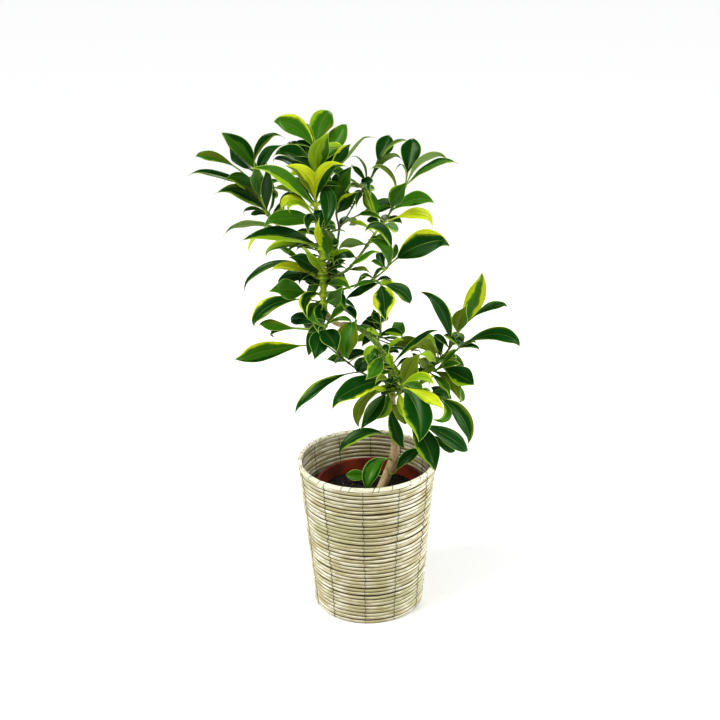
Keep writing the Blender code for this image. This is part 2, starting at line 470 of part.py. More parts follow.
def turned(name, profile, group, closed=False):
    """A profile of (radius, height) points, down its outer side first, turned round the upright axis."""
    mesh = bpy.data.meshes.new(name)
    edges = [(i, i + 1) for i in range(len(profile) - 1)]
    if closed:
        edges.append((len(profile) - 1, 0))
    mesh.from_pydata([(r, 0.0, z) for r, z in profile], edges, [])
    item = add_object(name, mesh, group)
    screw = item.modifiers.new("turn", "SCREW")
    screw.steps = ROUND_SIDES
    screw.render_steps = ROUND_SIDES
    screw.use_merge_vertices = True
    screw.merge_threshold = 0.00001
    apply_modifiers(item)
    return item


def tube(name, points, radii, group, resolution=1):
    """A round rod through the points (metres), a radius at each and flat ends, as one closed mesh."""
    curve = bpy.data.curves.new(name, "CURVE")
    curve.dimensions = "3D"
    curve.bevel_depth = 1.0
    curve.bevel_resolution = resolution
    curve.use_fill_caps = True
    spline = curve.splines.new("POLY")
    spline.points.add(len(points) - 1)
    for knot, place, radius in zip(spline.points, points, radii):
        knot.co = (*place, 1.0)
        knot.radius = radius
    rod = add_object(name + "_curve", curve, group)
    graph = bpy.context.evaluated_depsgraph_get()
    mesh = bpy.data.meshes.new_from_object(rod.evaluated_get(graph))
    shape = bmesh.new()
    shape.from_mesh(mesh)
    bmesh.ops.remove_doubles(shape, verts=shape.verts, dist=0.00001)
    shape.to_mesh(mesh)
    shape.free()
    item = add_object(name, mesh, group)
    item.matrix_world = rod.matrix_world
    bpy.data.objects.remove(rod)
    return item


def island(start):
    """All the vertices that edges join to this one."""
    found = {start}
    waiting = [start]
    while waiting:
        vert = waiting.pop()
        fresh = {edge.other_vert(vert) for edge in vert.link_edges} - found
        found |= fresh
        waiting.extend(fresh)
    return found


def drop_scraps(item):
    """Removes the loose chips of a few points that a union can leave beside its one body."""
    shape = bmesh.new()
    shape.from_mesh(item.data)
    left = set(shape.verts)
    while left:
        found = island(next(iter(left)))
        left -= found
        if len(found) < SCRAP_POINTS:
            bmesh.ops.delete(shape, geom=list(found), context="VERTS")
    shape.to_mesh(item.data)
    shape.free()


def boolean(item, pieces, operation, solver="EXACT"):
    """One Boolean of the item with the collection's pieces, applied, and the pieces removed."""
    change = item.modifiers.new(operation.lower(), "BOOLEAN")
    change.operation = operation
    change.operand_type = "COLLECTION"
    change.collection = pieces
    change.solver = solver
    apply_modifiers(item)
    drop_scraps(item)
    for piece in list(pieces.objects):
        bpy.data.objects.remove(piece)


# The cover pot

def wall_radius(z):
    return BASKET_FOOT_RADIUS + (BASKET_TOP_RADIUS - BASKET_FOOT_RADIUS) * z / (BASKET_HEIGHT - RIM_TUBE)


def wall_top():
    """The thread passes over the wall's top edge, under the rim."""
    return BASKET_HEIGHT - 2.0 * (RIM_TUBE + STITCH_THREAD + GAP)


def make_basket(group, straw):
    pitch = wall_top() / BASKET_ROWS
    profile = [(wall_radius(wall_top()) + ROW_GROOVE, wall_top())]
    for row in reversed(range(BASKET_ROWS)):
        for height, bulge in (((row + 0.5) * pitch, ROW_BULGE), (row * pitch, ROW_GROOVE)):
            profile.append((wall_radius(height) + bulge, height))
    profile.append((wall_radius(0.0) - LINING, 0.0))
    for row in range(BASKET_ROWS - INNER_ROWS_SHOWN, BASKET_ROWS):
        for height, bulge in ((row * pitch, LINING), ((row + 0.5) * pitch, INNER_BULGE)):
            profile.append((wall_radius(height) - bulge, height))
    profile.append((wall_radius(wall_top()) - LINING, wall_top()))
    finish(turned("basket_wall", profile, group, closed=True), straw, 30.0)

    radius = wall_radius(0.0) - LINING - GAP
    disc = [(0.0, BASE_THICKNESS), (radius, BASE_THICKNESS), (radius, 0.0), (0.0, 0.0)]
    finish(turned("basket_base", disc, group), straw)


def make_rim(group, straw):
    bpy.ops.mesh.primitive_torus_add(
        location=(0.0, 0.0, BASKET_HEIGHT - RIM_TUBE), major_radius=BASKET_TOP_RADIUS,
        minor_radius=RIM_TUBE, major_segments=ROUND_SIDES, minor_segments=RIM_SIDES)
    rim = bpy.context.object
    rim.name = "basket_rim"
    for other in list(rim.users_collection):
        other.objects.unlink(rim)
    group.objects.link(rim)
    finish(rim, straw, 60.0)


def make_stitches(group):
    """Each line of stitching is one thread: up the outside, over the wall's top, and down the inside."""
    dark = material("stitch_thread", (0.030, 0.040, 0.020), 0.8)
    clear = STITCH_THREAD + GAP
    over = wall_top() + clear
    inner_foot = BASE_THICKNESS + clear
    facet = math.cos(math.pi / ROUND_SIDES)
    route = (
        (wall_radius(STITCH_FOOT) + ROW_BULGE + clear, STITCH_FOOT),
        (wall_radius(over) + ROW_BULGE + clear, over),
        ((wall_radius(over) - INNER_BULGE) * facet - clear, over),
        ((wall_radius(inner_foot) - INNER_BULGE) * facet - clear, inner_foot),
    )
    for k in range(STITCH_COUNT):
        angle = STITCH_FIRST_ANGLE + k * 2.0 * math.pi / STITCH_COUNT
        points = [(r * math.cos(angle), r * math.sin(angle), z) for r, z in route]
        thread = tube(f"stitch_{k + 1:02d}", points, [STITCH_THREAD] * len(points), group, resolution=0)
        finish(thread, dark)


# The nursery pot and its soil

def pot_outer(z):
    """The nursery pot's outer radius below its lip."""
    foot = BASE_THICKNESS + GAP
    top_radius = POT_TOP_RADIUS - POT_LIP
    return POT_FOOT_RADIUS + (top_radius - POT_FOOT_RADIUS) * (z - foot) / (POT_TOP - foot)


def make_pot(group):
    foot = BASE_THICKNESS + GAP
    floor = foot + POT_WALL
    lip = POT_TOP - POT_LIP_HEIGHT
    profile = [
        (0.0, floor), (pot_outer(floor) - POT_WALL, floor), (pot_outer(POT_TOP) - POT_WALL, POT_TOP),
        (POT_TOP_RADIUS, POT_TOP), (pot_outer(lip) + POT_LIP, lip), (pot_outer(lip), lip),
        (POT_FOOT_RADIUS, foot), (0.0, foot),
    ]
    pot = turned("inner_pot", profile, group)
    pot.location.x = POT_CENTRE_X
    finish(pot, material("nursery_pot_clay", (0.17, 0.030, 0.012), 0.55), 30.0)


def make_soil(group, cutters, trunk):
    """A plug of soil, a little higher in the middle, with a plain hole that the trunk stands in."""
    foot = BASE_THICKNESS + POT_WALL + 2.0 * GAP
    inset = POT_WALL + GAP
    profile = [
        (0.0, SOIL_TOP + SOIL_CROWN), (0.6 * POT_TOP_RADIUS, SOIL_TOP + 0.5 * SOIL_CROWN),
        (pot_outer(SOIL_TOP) - inset, SOIL_TOP), (pot_outer(foot) - inset, foot), (0.0, foot),
    ]
    soil = turned("soil", profile, group)
    soil.data.transform(Matrix.Translation((POT_CENTRE_X, 0.0, 0.0)))
    sunk = slice(0, HOLE_POINTS * STEM_STEP, STEM_STEP)
    line = trunk.line[sunk]
    radii = trunk.radii[sunk]
    below = line[0] - unit(line[1] - line[0]) * GAP
    hole = tube("soil_hole", [below, *line[1:]], radii + GAP, cutters, resolution=2)
    hole.hide_render = True
    hole.display_type = "WIRE"
    boolean(soil, cutters, "DIFFERENCE")
    finish(soil, material("soil", (0.012, 0.008, 0.005), 0.95))


# The plant's lines

def placed(seen):
    """Rows of seen (x, z, depth) in cm as places in metres, slid along the sight line to their depth."""
    seen = np.asarray(seen, float)
    flat = np.stack([seen[:, 0], np.zeros(len(seen)), seen[:, 1]], axis=1)
    return (eye + (flat - eye) * (1.0 - seen[:, 2] / eye[1])[:, None]) * cm


def unit(rows):
    return rows / np.linalg.norm(rows, axis=-1, keepdims=True)


def spread(marks, rows):
    """The rows' values at marks from 0 (the first row) to 1 (the last), in straight runs."""
    rows = np.asarray(rows, float)
    knots = np.linspace(0.0, 1.0, len(rows))
    return np.stack([np.interp(marks, knots, column) for column in rows.T], axis=1)


class Stem:
    """A stem's line: its seen points, its places and radii in metres, and the lengths along it."""

    def __init__(self, points, radii):
        marks = np.linspace(0.0, 1.0, (len(points) - 1) * STEM_STEP + 1)
        self.seen = spread(marks, points)
        self.line = placed(self.seen)
        self.radii = spread(marks, [[radius] for radius in radii])[:, 0] * cm
        spans = np.linalg.norm(np.diff(self.line, axis=0), axis=1)
        self.along = np.concatenate([[0.0], np.cumsum(spans)])
        self.cut = 0.0

    def at(self, length):
        place = np.array([np.interp(length, self.along, self.line[:, k]) for k in range(3)])
        ahead = np.array([np.interp(length + 0.001, self.along, self.line[:, k]) for k in range(3)])
        return place, unit(ahead - place), np.interp(length, self.along, self.radii)

    def nearest(self, at):
        """The seen point of the stem, beyond its cut, that lies nearest to a leaf's seen start."""
        off = np.hypot(self.seen[:, 0] - at[0], self.seen[:, 1] - at[1])
        off[self.along < self.cut + 2.0 * CUT_STRAIGHT] = np.inf
        i = int(np.argmin(off))
        return off[i], self.seen[i]


def parent_radius(place, stems):
    """The radius of the parent where a child's line leaves it."""
    best = min(stems, key=lambda stem: np.linalg.norm(stem.line - place, axis=1).min())
    return best.radii[np.linalg.norm(best.line - place, axis=1).argmin()]


def leaf_root(leaf, stems):
    return min((stem.nearest(leaf[0]) for stem in stems), key=lambda found: found[0])[1]


def blade_outline(s):
    """Half-width over the blade's length: widest a little past its middle, and drawn out to the tip."""
    return np.sin(math.pi * s ** 0.95) ** 0.8 * (1.0 - 0.35 * s ** 5)


def leaf_lines(root, leaf, t):
    """Points along a leaf's midrib, and the directions across it and out of its upper face."""
    mid, tip, turn, deep = leaf[1], leaf[2], leaf[4], leaf[5]
    first = np.array(root)
    half = np.array([*mid, root[2] + 0.5 * deep])
    last = np.array([*tip, root[2] + deep])
    bow = 2.0 * half - 0.5 * (first + last)

    def midrib(u):
        return placed((1.0 - u) ** 2 * first + 2.0 * u * (1.0 - u) * bow + u ** 2 * last)

    u = np.asarray(t)[:, None]
    line = midrib(u)
    run = unit(midrib(u + 0.01) - line)
    view = unit(eye * cm - line)
    front = unit(view - (view * run).sum(axis=1, keepdims=True) * run)
    side = np.cross(front, run)
    chord = line[-1] - line[0]
    if np.cross(front[len(front) // 2], chord) @ (0.35, 0.0, 1.0) < 0.0:
        side = -side
    face = math.cos(math.radians(turn)) * front + math.sin(math.radians(turn)) * side
    return line, np.cross(face, run), face


def add_leaf(name, root, leaf, group):
    """A grid along the midrib, folded up at it, as thick as a leaf. Its root end is inside the stem."""
    width = leaf[3] * cm
    petiole = leaf[6]
    ends = placed([root, (*leaf[2], root[2] + leaf[5])])
    length = np.linalg.norm(ends[1] - ends[0])
    shares = np.array((0.0, 0.5, 1.0) if length < SHORT_LEAF else (0.0, 0.3, 0.7, 1.0))
    t = np.concatenate([[0.0], petiole + (1.0 - petiole) * shares])
    blade = 0.5 * width * blade_outline(shares[1:-1])
    half = np.concatenate([[ROOT_HALF, PETIOLE_HALF], blade, [TIP_HALF]])
    line, across, face = leaf_lines(root, leaf, t)
    shape = bmesh.new()
    strips = 2 if length > LONG_LEAF else 1
    bmesh.ops.create_grid(shape, x_segments=len(t) - 1, y_segments=strips, size=1.0)
    for vert in shape.verts:
        i = round(0.5 * (vert.co.x + 1.0) * (len(t) - 1))
        out = vert.co.y * math.cos(LEAF_FOLD)
        lift = abs(vert.co.y) * math.sin(LEAF_FOLD)
        vert.co = Vector(line[i] + half[i] * (out * across[i] + lift * face[i]))
    bmesh.ops.triangulate(shape, faces=shape.faces)
    mesh = bpy.data.meshes.new(name)
    shape.to_mesh(mesh)
    shape.free()
    item = add_object(name, mesh, group)
    thick = item.modifiers.new("thick", "SOLIDIFY")
    thick.thickness = LEAF_THICKNESS
    thick.offset = 0.0
    apply_modifiers(item)


def back_leaves(shoot, stem, rng):
    """Leaves on the side away from the eye, spread along the shoot's first stem by a rule."""
    made = []
    for k in range(shoot["back"]):
        share = 0.35 + 0.6 * (k + 0.5) / shoot["back"]
        x, z, y = stem.seen[int(share * (len(stem.seen) - 1))]
        lean = rng.choice((-1.0, 1.0)) * rng.uniform(0.6, 2.2)
        rise = rng.uniform(0.2, 1.4)
        mid = (x + 0.6 * lean, z + rise)
        tip = (x + lean, z + 0.4 * rise)
        width = rng.uniform(1.6, 2.2)
        deep = rng.uniform(4.2, 6.0)
        made.append(((x, z), mid, tip, width, 90, deep, 0.08, rng.choice(("ddd", "ddl", "mmm", "ydd"))))
    return made


# The plant's pieces

def standing_stem(name, stem, start, group):
    """A stem that stands on its parent: a short straight piece in line with the parent, then its own."""
    place, run, radius = start
    clear = stem.cut + 2.5 * CUT_STRAIGHT
    keep = [i for i in range(0, len(stem.line), STEM_STEP) if stem.along[i] > clear]
    line = np.vstack([place + run * GAP, place + run * (GAP + CUT_STRAIGHT), stem.line[keep]])
    return tube(name, line, [radius, radius, *stem.radii[keep]], group)


def stub_piece(name, stem, group):
    """The short start of a child's stem, which belongs to its parent and ends flat under the child."""
    place, run, radius = stem.at(stem.cut)
    tube(name, [place - run * (stem.cut + 0.5 * stem.along[1]), place], [radius] * 2, group)


def deepened():
    """The shoots, with those of the bush, not the low ones at the pot, made deeper than laid out."""
    made = {}
    for name, shoot in shoots.items():
        deep = 1.0 if name in LOW_SHOOTS else BUSH_DEPTH
        stems = [(*stem[:2], *((x, z, y * deep) for x, z, y in stem[2:])) for stem in shoot["stems"]]
        leaves = [(*leaf[:5], leaf[5] * deep, *leaf[6:]) for leaf in shoot["leaves"]]
        made[name] = {**shoot, "stems": stems, "leaves": leaves}
    return made


def plan_stems(shoots):
    """Each node's stems, the start of each first stem, and the stubs that each parent carries."""
    stems = {"trunk": [Stem([p[:3] for p in trunk_line], [p[3] for p in trunk_line])]}
    for name, shoot in shoots.items():
        stems[name] = [Stem(stem[2:], stem[:2]) for stem in shoot["stems"]]
    starts = {}
    stubs = {name: [] for name in stems}
    for name, shoot in shoots.items():
        parent = stems[shoot["parent"]]
        first = stems[name][0]
        if name in STANDING:
            end = parent[0].line[-1]
            starts[name] = (end, unit(end - parent[0].line[-1 - STEM_STEP]), first.radii[0])
            first.cut = GAP
        else:
            first.cut = parent_radius(first.line[0], parent) + STUB_LENGTH
            starts[name] = first.at(first.cut)
            stubs[shoot["parent"]].append(first)
    return stems, starts, stubs


def make_trunk(group, pieces, trunk, stubs):
    base = tube("trunk", trunk.line[::STEM_STEP], trunk.radii[::STEM_STEP], group, 2)
    for k, stub in enumerate(stubs):
        stub_piece(f"trunk_stub_{k}", stub, pieces)
    boolean(base, pieces, "UNION")
    finish(base, material("bark", (0.30, 0.21, 0.08), 0.7), 60.0)


def make_shoots(shoots, group, pieces, stems, starts, stubs):
    rng = random.Random(SEED)
    for name, shoot in shoots.items():
        base = standing_stem(name, stems[name][0], starts[name], group)
        for k, side in enumerate(stems[name][1:]):
            tube(f"{name}_side_{k}", side.line[::STEM_STEP], side.radii[::STEM_STEP], pieces)
        for k, stub in enumerate(stubs[name]):
            stub_piece(f"{name}_stub_{k}", stub, pieces)
        leaves = shoot["leaves"] + back_leaves(shoot, stems[name][0], rng)
        for k, leaf in enumerate(leaves):
            add_leaf(f"{name}_leaf_{k}", leaf_root(leaf, stems[name]), leaf, pieces)
        boolean(base, pieces, "UNION", "MANIFOLD")
        letters = "".join(leaf[7] for leaf in leaves)
        colour = [sum(leaf_colours[k][c] for k in letters) / len(letters) for c in range(3)]
        finish(base, material(name + "_green", colour, 0.4), 40.0)


def main():
    for item in list(bpy.data.objects):
        bpy.data.objects.remove(item)
    group = new_collection("potted_fagraea")
    pieces = new_collection("cutters")
    straw = material("straw", (0.72, 0.69, 0.45), 0.65)
    make_basket(group, straw)
    make_rim(group, straw)
    make_stitches(group)
    make_pot(group)
    bush = deepened()
    stems, starts, stubs = plan_stems(bush)
    make_soil(group, pieces, stems["trunk"][0])
    make_trunk(group, pieces, stems["trunk"][0], stubs["trunk"])
    make_shoots(bush, group, pieces, stems, starts, stubs)


main()
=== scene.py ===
# A potted fagraea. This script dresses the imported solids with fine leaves, bark, cane rows, thread and soil,
# and sets the photograph's view of them. Metres, +Z up; the plant's tables are in centimetres.
import math
import random

import bpy
import numpy as np
from mathutils import Matrix
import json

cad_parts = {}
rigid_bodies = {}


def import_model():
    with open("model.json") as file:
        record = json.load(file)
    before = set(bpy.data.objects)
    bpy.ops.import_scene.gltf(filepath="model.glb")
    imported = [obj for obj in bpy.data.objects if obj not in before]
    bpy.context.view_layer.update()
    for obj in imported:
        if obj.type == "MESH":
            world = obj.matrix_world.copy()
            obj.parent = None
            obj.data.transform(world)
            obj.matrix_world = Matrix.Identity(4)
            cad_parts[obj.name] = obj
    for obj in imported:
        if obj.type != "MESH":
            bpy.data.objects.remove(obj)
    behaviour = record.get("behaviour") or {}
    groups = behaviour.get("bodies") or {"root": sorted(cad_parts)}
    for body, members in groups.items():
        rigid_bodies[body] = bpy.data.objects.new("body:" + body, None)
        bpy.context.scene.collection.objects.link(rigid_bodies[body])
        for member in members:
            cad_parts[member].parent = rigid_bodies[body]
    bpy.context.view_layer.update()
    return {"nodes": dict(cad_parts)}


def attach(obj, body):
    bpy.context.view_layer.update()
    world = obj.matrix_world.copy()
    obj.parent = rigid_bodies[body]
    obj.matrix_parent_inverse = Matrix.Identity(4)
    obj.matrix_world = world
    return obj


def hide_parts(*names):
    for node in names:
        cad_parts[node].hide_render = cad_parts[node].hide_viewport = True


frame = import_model()
cm = 0.01
mm = 0.001
lookout = np.array([-0.6, -126.0, 82.0])  # the photograph's eye, for which the plant is laid out, in cm
print("frame loaded")


# The trunk's line as (x, z, depth, radius): out of the soil, up, over to the left in the green arch, and up
# to where the leader stands on it.
trunkLine = (
    (1.6, 12.9, 0.0, 0.62), (1.65, 14.5, 0.0, 0.62), (1.9, 16.2, 0.0, 0.62), (2.4, 17.6, 0.0, 0.62),
    (3.0, 19.2, 0.0, 0.61), (3.55, 21.0, 0.0, 0.60), (3.75, 22.8, 0.0, 0.58), (3.7, 25.2, 0.0, 0.54),
    (3.45, 27.8, 0.0, 0.50), (3.35, 30.2, 0.0, 0.46), (3.3, 32.2, 0.0, 0.43), (3.1, 33.6, 0.0, 0.42),
    (2.5, 35.1, 0.0, 0.41), (1.6, 36.8, 0.0, 0.40), (0.5, 38.1, 0.0, 0.39), (-1.0, 39.2, 0.0, 0.36),
    (-2.3, 39.6, 0.0, 0.33), (-3.3, 39.6, 0.0, 0.33), (-4.2, 40.2, 0.0, 0.36), (-4.9, 41.15, 0.0, 0.35),
)

# The shoots, given one by one. Points are cm as the viewer sees them on the upright plane through the pot's axis:
# x to the right, z up. A stem's points also have their depth y behind (+) or before (-) that plane.
# A leaf's line holds where it leaves its stem, a point half-way, its tip, its width, its turn in degrees
# (0 faces the viewer, 90 faces up, or right if it is upright), the tip's depth beyond its stem, the share of
# its length that is petiole, and its colours from the upper margin over the middle to the lower margin,
# a capital for a margin colour that fills its half up to the midrib, partly variegation and partly painted light:
# d dark, m mid green, l lime, y yellow, k khaki, o pale underside.
shoots = {
    "shoot_top_left": {
        "parent": "leader",
        "back": 3,
        "stems": [
            (0.22, 0.12, (-5.3, 47.3, 0.0), (-7.4, 49.6, 2.6), (-9.8, 51.8, 3.6), (-11.5, 53.7, 3.8),
             (-12.3, 55.4, 3.8), (-12.9, 57.2, 3.6), (-13.1, 59.3, 3.4)),
        ],
        "leaves": [
            ((-13.1, 59.2), (-14.3, 61.7), (-17.0, 64.0), 2.1, 10, 1.0, 0.06, "dmM"),
            ((-13.1, 59.0), (-14.4, 60.4), (-15.9, 61.8), 1.7, -55, -3.0, 0.06, "ddd"),
            ((-12.9, 59.2), (-12.2, 62.0), (-9.6, 63.9), 1.4, 40, -1.0, 0.2, "ddK"),
            ((-12.9, 57.3), (-16.1, 60.2), (-20.4, 61.3), 1.3, 30, 1.0, 0.42, "Kml"),
            ((-12.8, 56.8), (-16.6, 58.5), (-20.9, 59.4), 1.3, 50, -1.5, 0.12, "ddO"),
            ((-12.7, 56.2), (-14.5, 57.9), (-16.5, 58.6), 1.8, 30, -3.0, 0.06, "mml"),
            ((-11.8, 54.4), (-14.2, 56.3), (-17.2, 57.3), 1.9, 25, -3.5, 0.06, "kdl"),
            ((-12.4, 55.8), (-12.8, 57.9), (-12.6, 60.0), 1.5, 10, -3.5, 0.06, "Mmd"),
            ((-11.7, 54.2), (-11.7, 57.0), (-11.3, 59.6), 1.4, 10, -3.0, 0.06, "ddd"),
            ((-12.9, 58.2), (-11.8, 60.7), (-9.9, 62.2), 1.5, 30, -3.5, 0.1, "ddd"),
            ((-11.5, 53.9), (-11.0, 56.0), (-11.1, 59.0), 1.1, 65, 2.5, 0.1, "ddo"),
            ((-9.7, 51.6), (-13.3, 52.7), (-17.3, 51.9), 1.4, 120, 0.5, 0.15, "loo"),
            ((-10.0, 51.9), (-13.0, 51.4), (-14.5, 48.7), 1.0, 60, -0.5, 0.2, "yyl"),
        ],
    },
    "crown": {
        "parent": "leader",
        "back": 4,
        "stems": [
            (0.27, 0.13, (-5.5, 52.95, 0.0), (-5.8, 55.3, 0.0), (-5.6, 57.6, 0.0), (-5.4, 60.0, 0.2),
             (-5.6, 62.6, 0.3)),
        ],
        "leaves": [
            ((-5.7, 61.2), (-7.7, 64.2), (-10.9, 65.2), 2.2, 20, 1.0, 0.06, "ymm"),
            ((-5.7, 62.2), (-6.2, 63.8), (-7.0, 65.0), 1.3, 60, 3.0, 0.1, "mml"),
            ((-5.5, 62.4), (-4.9, 64.6), (-3.5, 66.5), 2.6, 10, 2.0, 0.06, "lmk"),
            ((-5.4, 58.4), (-5.3, 61.3), (-4.0, 63.5), 2.2, 10, -2.5, 0.06, "Llm"),
            ((-5.2, 59.6), (-3.3, 62.5), (-1.8, 65.0), 2.1, 10, 1.5, 0.06, "kmm"),
            ((-5.3, 57.6), (-3.1, 60.3), (-1.6, 62.3), 1.4, 20, -0.5, 0.3, "ydd"),
            ((-5.4, 56.8), (-1.7, 60.8), (0.7, 63.7), 1.1, 115, 1.5, 0.1, "ooo"),
            ((-5.7, 55.0), (-4.9, 58.4), (-2.5, 60.2), 1.8, 20, -3.0, 0.06, "Ydd"),
            ((-5.8, 55.0), (-6.6, 58.2), (-9.2, 60.0), 1.8, 15, -2.5, 0.06, "Yyk"),
            ((-5.5, 58.6), (-8.0, 61.0), (-10.8, 61.2), 2.1, 45, -0.5, 0.06, "ddd"),
            ((-5.5, 58.9), (-6.7, 60.8), (-7.7, 62.9), 1.6, 0, 1.8, 0.06, "ddl"),
            ((-5.9, 54.5), (-8.9, 57.9), (-12.5, 60.0), 1.6, 20, -4.5, 0.06, "Mml"),
            ((-5.9, 55.1), (-7.4, 57.0), (-8.7, 58.8), 1.0, 50, -0.8, 0.06, "ldd"),
            ((-5.6, 56.9), (-4.3, 55.8), (-4.7, 51.8), 1.8, 0, -3.5, 0.1, "ddd"),
            ((-5.8, 54.9), (-8.7, 56.8), (-11.0, 57.1), 1.2, 55, 1.0, 0.2, "kkm"),
            ((-5.6, 53.6), (-8.7, 55.9), (-10.2, 54.0), 1.7, 45, 0.5, 0.15, "dyy"),
        ],
    },
    "leader": {
        "parent": "trunk",
        "back": 4,
        "stems": [
            (0.34, 0.27, (-4.95, 41.25, 0.0), (-5.2, 43.0, 0.0), (-5.1, 45.0, 0.0), (-5.2, 47.0, 0.0),
             (-5.2, 49.0, 0.0), (-5.3, 51.0, 0.0), (-5.5, 52.9, 0.0)),
        ],
        "leaves": [
            ((-5.5, 52.7), (-9.0, 53.4), (-12.6, 52.8), 2.1, 25, -1.5, 0.06, "mmm"),
            ((-5.3, 49.2), (-9.6, 51.2), (-15.2, 50.9), 2.0, 40, -2.2, 0.06, "ddl"),
            ((-5.3, 48.9), (-9.6, 50.1), (-12.6, 48.6), 1.6, 50, -0.8, 0.12, "ylo"),
            ((-5.2, 45.8), (-8.7, 48.6), (-11.0, 50.2), 0.9, 40, 1.0, 0.3, "mml"),
            ((-5.2, 45.7), (-7.2, 47.7), (-8.8, 48.5), 1.7, 20, -2.0, 0.1, "ddd"),
            ((-5.2, 46.6), (-6.1, 47.8), (-7.3, 49.4), 0.9, 0, -3.0, 0.06, "lll"),
            ((-5.2, 45.5), (-10.8, 47.6), (-16.1, 43.8), 1.1, 50, 0.5, 0.15, "ddo"),
            ((-5.2, 45.3), (-8.6, 47.2), (-11.7, 46.9), 1.3, 35, -1.5, 0.1, "myd"),
            ((-5.1, 44.6), (-8.5, 46.0), (-11.4, 44.4), 1.9, 40, 1.5, 0.06, "ddd"),
            ((-5.2, 43.4), (-9.0, 44.2), (-11.2, 44.4), 2.4, 10, -3.0, 0.28, "mmm"),
            ((-5.1, 42.6), (-11.1, 42.6), (-14.7, 39.1), 2.1, 35, -1.0, 0.25, "ydk"),
            ((-5.1, 43.8), (-7.2, 43.2), (-7.4, 40.9), 1.5, 30, -4.5, 0.1, "ydy"),
            ((-5.0, 42.4), (-6.9, 41.7), (-5.8, 39.3), 1.2, 10, -5.5, 0.1, "lml"),
            ((-5.0, 41.9), (-5.9, 42.1), (-7.0, 42.2), 0.9, 40, 3.0, 0.2, "ddd"),
            ((-5.3, 50.9), (-4.5, 50.1), (-4.6, 48.3), 1.3, 0, -3.5, 0.1, "mmm"),
            ((-5.1, 46.2), (-4.3, 46.9), (-3.5, 47.7), 1.5, 0, 4.0, 0.2, "ddd"),
            ((-5.1, 45.0), (-3.5, 45.9), (-1.9, 45.6), 1.5, 40, 3.0, 0.1, "ddd"),
            ((-5.1, 44.7), (-3.2, 45.2), (-1.9, 44.3), 1.2, 20, -3.0, 0.1, "lmm"),
            ((-5.1, 42.8), (-3.9, 43.1), (-3.0, 44.4), 1.8, 0, -4.0, 0.1, "mmm"),
            ((-5.5, 52.5), (-6.5, 53.3), (-6.9, 51.7), 1.2, 0, -4.0, 0.1, "ddd"),
            ((-5.3, 49.4), (-5.6, 51.2), (-5.6, 53.0), 0.9, 0, -1.7, 0.06, "yyl"),
        ],
    },
    "shoot_top_middle": {
        "parent": "leader",
        "back": 1,
        "stems": [
            (0.18, 0.11, (-5.2, 47.0, 0.0), (-4.1, 48.2, 0.9), (-3.4, 49.6, 1.2), (-3.1, 51.2, 1.5),
             (-3.0, 52.1, 1.5), (-3.3, 53.6, 1.6), (-3.2, 55.2, 1.7)),
            (0.11, 0.07, (-3.0, 52.1, 1.5), (-1.9, 53.7, 1.8), (-0.9, 55.4, 2.0), (0.1, 57.0, 2.2),
             (1.0, 58.1, 2.3), (1.9, 59.8, 2.4)),
        ],
        "leaves": [
            ((-3.2, 55.1), (-2.8, 57.3), (-1.3, 59.4), 2.3, 0, -2.0, 0.06, "dmm"),
            ((-3.3, 53.7), (-2.2, 55.2), (-0.7, 56.5), 1.5, 10, -2.5, 0.06, "ydd"),
            ((-3.3, 50.1), (-4.2, 51.0), (-4.8, 52.2), 1.2, 160, -2.0, 0.1, "ooo"),
            ((-2.9, 52.2), (0.6, 54.2), (4.3, 55.4), 1.4, 15, 2.5, 0.4, "ddd"),
            ((1.0, 58.1), (2.1, 60.9), (3.5, 63.4), 2.0, 0, 1.5, 0.38, "ddd"),
            ((0.6, 57.6), (2.5, 60.0), (4.6, 60.9), 1.3, 60, -1.0, 0.1, "doo"),
            ((1.8, 59.7), (3.6, 62.1), (5.9, 62.4), 1.2, 65, 0.5, 0.06, "kol"),
            ((0.3, 57.3), (0.1, 59.6), (-1.3, 61.1), 0.8, 70, 1.5, 0.1, "doo"),
            ((0.2, 57.2), (1.2, 55.4), (1.7, 52.8), 1.3, 50, -2.0, 0.1, "lmd"),
            ((-0.1, 56.8), (-0.9, 57.3), (-2.0, 56.9), 0.8, 30, -3.0, 0.1, "kko"),
            ((-0.2, 56.6), (-0.6, 56.2), (-0.8, 55.0), 1.0, 0, -3.5, 0.1, "mdd"),
            ((0.2, 57.3), (0.4, 57.6), (0.5, 56.9), 1.5, 0, -5.0, 0.06, "ddd"),
        ],
    },
    "shoot_top_right": {
        "parent": "leader",
        "back": 1,
        "stems": [
            (0.2, 0.1, (-5.1, 45.4, 0.0), (-3.9, 46.0, -0.7), (-2.3, 46.6, -0.9), (-0.9, 48.1, -0.8),
             (0.3, 49.7, -0.8), (1.2, 51.1, -0.6), (2.3, 52.4, -0.4), (3.3, 54.0, -0.2),
             (4.2, 55.8, 0.0), (5.2, 57.3, 0.2)),
        ],
        "leaves": [
            ((5.1, 57.2), (5.6, 60.4), (6.1, 63.2), 2.3, 0, 2.0, 0.22, "ddd"),
            ((5.0, 57.1), (5.1, 59.0), (4.2, 59.9), 0.8, 70, 3.2, 0.1, "ddd"),
            ((5.2, 57.3), (7.3, 60.1), (10.4, 60.7), 1.6, 120, 1.0, 0.06, "ooo"),
            ((5.1, 57.1), (8.0, 59.2), (11.2, 60.2), 1.7, 62, -1.5, 0.06, "dmo"),
            ((3.4, 54.1), (4.0, 55.9), (5.3, 57.4), 1.8, 10, -3.0, 0.06, "lmm"),
            ((3.4, 54.0), (6.0, 55.4), (8.7, 55.2), 1.7, 25, -1.5, 0.06, "mmd"),
            ((4.1, 55.6), (3.2, 58.6), (0.8, 59.6), 1.0, 60, -1.5, 0.1, "dko"),
            ((2.4, 52.5), (6.0, 53.6), (8.7, 52.6), 1.6, 35, -2.5, 0.2, "yyy"),
            ((2.3, 52.3), (3.4, 52.1), (4.5, 51.4), 1.1, 20, 3.0, 0.1, "mml"),
